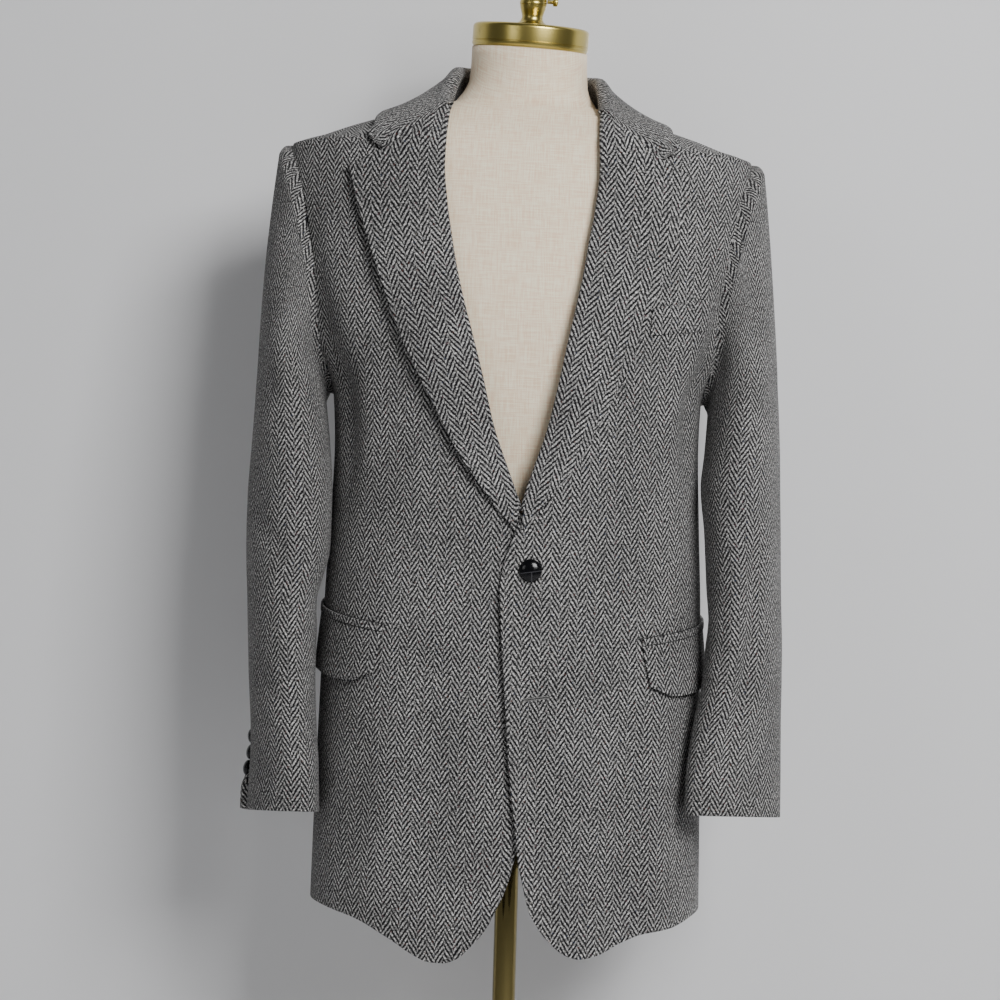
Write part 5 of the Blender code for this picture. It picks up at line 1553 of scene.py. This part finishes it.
def model_button(diameter, thickness):
    """A domed button with its face along +Z and its back's middle at the origin."""
    bpy.ops.object.select_all(action="DESELECT")
    radius, dome = diameter / 2 * MM, thickness * MM
    bpy.ops.mesh.primitive_uv_sphere_add(segments=72, ring_count=54, radius=radius)
    piece = bpy.context.object
    bpy.ops.object.mode_set(mode="EDIT")
    bpy.ops.mesh.select_all(action="SELECT")
    bpy.ops.transform.resize(value=(1, 1, dome * 0.62 / radius), center_override=(0, 0, 0))
    bpy.ops.mesh.bisect(plane_co=(0, 0, -dome * 0.26), plane_no=(0, 0, -1), clear_outer=True, use_fill=True)
    bpy.ops.mesh.select_all(action="SELECT")
    bpy.ops.transform.translate(value=(0, 0, dome * 0.38))
    bpy.ops.mesh.select_mode(type="VERT")
    press_groove((-radius, -radius * 0.16), (radius, -radius * 0.10), radius * 0.15, dome * 0.24)
    press_groove((radius * 0.08, -radius * 0.2), (radius * 0.02, -radius), radius * 0.13, dome * 0.2)
    press_groove((-radius * 0.5, radius * 0.95), (-radius * 0.2, radius * 0.5), radius * 0.2, dome * 0.06)
    bpy.ops.object.mode_set(mode="OBJECT")
    bpy.ops.object.shade_smooth_by_angle(angle=math.radians(50))
    face_map = piece.data.uv_layers.new(name="face")
    for loop in piece.data.loops:
        at = piece.data.vertices[loop.vertex_index].co
        face_map.uv[loop.index].vector = (at.x / radius, at.y / radius)
    return piece


front_pattern, cuff_pattern = model_button(22, 7.5), model_button(15, 7)
print("a button:", len(front_pattern.data.polygons), "faces")

# %% [markdown]
# ## Sewing the buttons on
# Each button's seat and facing are read from the plain button there. A copy of its pattern is set on the
# seat, a little off the cloth, and a short stem of thread fills the gap.


# %% Sewing the buttons on
def button_seat(node, centre):
    """The plain button's back middle and the way it faces, from its own points."""
    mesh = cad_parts[node].data
    points = np.array([v.co for v in mesh.vertices])
    middle = (points.max(0) + points.min(0)) / 2
    faces = np.array([[*(f.normal * f.area)] for f in mesh.polygons])
    weights = np.einsum("ni,nj->ij", faces, faces / lengths(faces)[:, None].clip(1e-12))
    axis = np.linalg.eigh(weights)[1][:, -1]    # most of the button's surface faces along its axis
    if axis @ (middle - np.array(centre)) < 0:
        axis = -axis
    along = points @ axis
    middle = points[np.abs(along - np.percentile(along, 60)) < 0.003].mean(0)
    return Vector(middle + axis * (along.min() - middle @ axis)), Vector(axis)


def set_button(pattern, node, centre, roll, shank):
    """A copy of the pattern on its plain button's seat, held off the cloth by a stem of thread."""
    seat, axis = button_seat(node, centre)
    up = Vector((math.sin(roll), 0, math.cos(roll)))
    side = up.cross(axis).normalized()
    turn = Matrix((side, axis.cross(side), axis)).transposed().to_4x4()
    piece = bpy.data.objects.new("leather_" + node, pattern.data.copy())
    bpy.context.collection.objects.link(piece)
    bpy.ops.object.select_all(action="DESELECT")
    piece.select_set(True)
    bpy.context.view_layer.objects.active = piece
    settle_piece(piece, Matrix.Translation(seat + axis * shank) @ turn)
    piece.data.materials.append(leather)
    hard_part(piece, node)
    low = seat - axis * 0.0002
    bpy.ops.object.select_all(action="DESELECT")
    bpy.ops.mesh.primitive_cylinder_add(vertices=20, radius=shank * 1.15, depth=shank * 1.5)
    stem = bpy.context.object
    stem.name = stem.data.name = "thread_" + node
    bpy.ops.object.mode_set(mode="EDIT")
    bpy.ops.mesh.select_all(action="SELECT")
    bpy.ops.mesh.subdivide(number_cuts=2)
    bpy.ops.mesh.bevel(offset=shank * 0.12, segments=2)
    bpy.ops.object.mode_set(mode="OBJECT")
    settle_piece(stem, Matrix.Translation(low + axis * shank * 0.75) @ turn)
    bpy.ops.object.shade_smooth_by_angle(angle=math.radians(40))
    stem.data.materials.append(thread_used)
    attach(stem, "root")


def cuff_centre(side, height):
    centre, forward = (float(SLEEVES[side].at(height, n)) for n in ("centre", "forward"))
    return np.array([side * centre, -forward, height]) * MM


set_button(front_pattern, "front_button", (0, 0, BUTTON_LEVEL * MM), -0.12, 0.0012)
CUFF_BUTTONS = ((38.0, 0.3), (53.3, -0.2), (68.6, 0.1))    # rise above the cuff, roll on its thread
for side, word in WORDS.items():
    for number, (rise, roll) in enumerate(CUFF_BUTTONS, start=1):
        centre = cuff_centre(side, CUFF_LEVEL[side] + rise)
        set_button(cuff_pattern, f"cuff_button_{word}_{number}", centre, roll, 0.0009)
for pattern in (front_pattern, cuff_pattern):
    bpy.data.objects.remove(pattern)
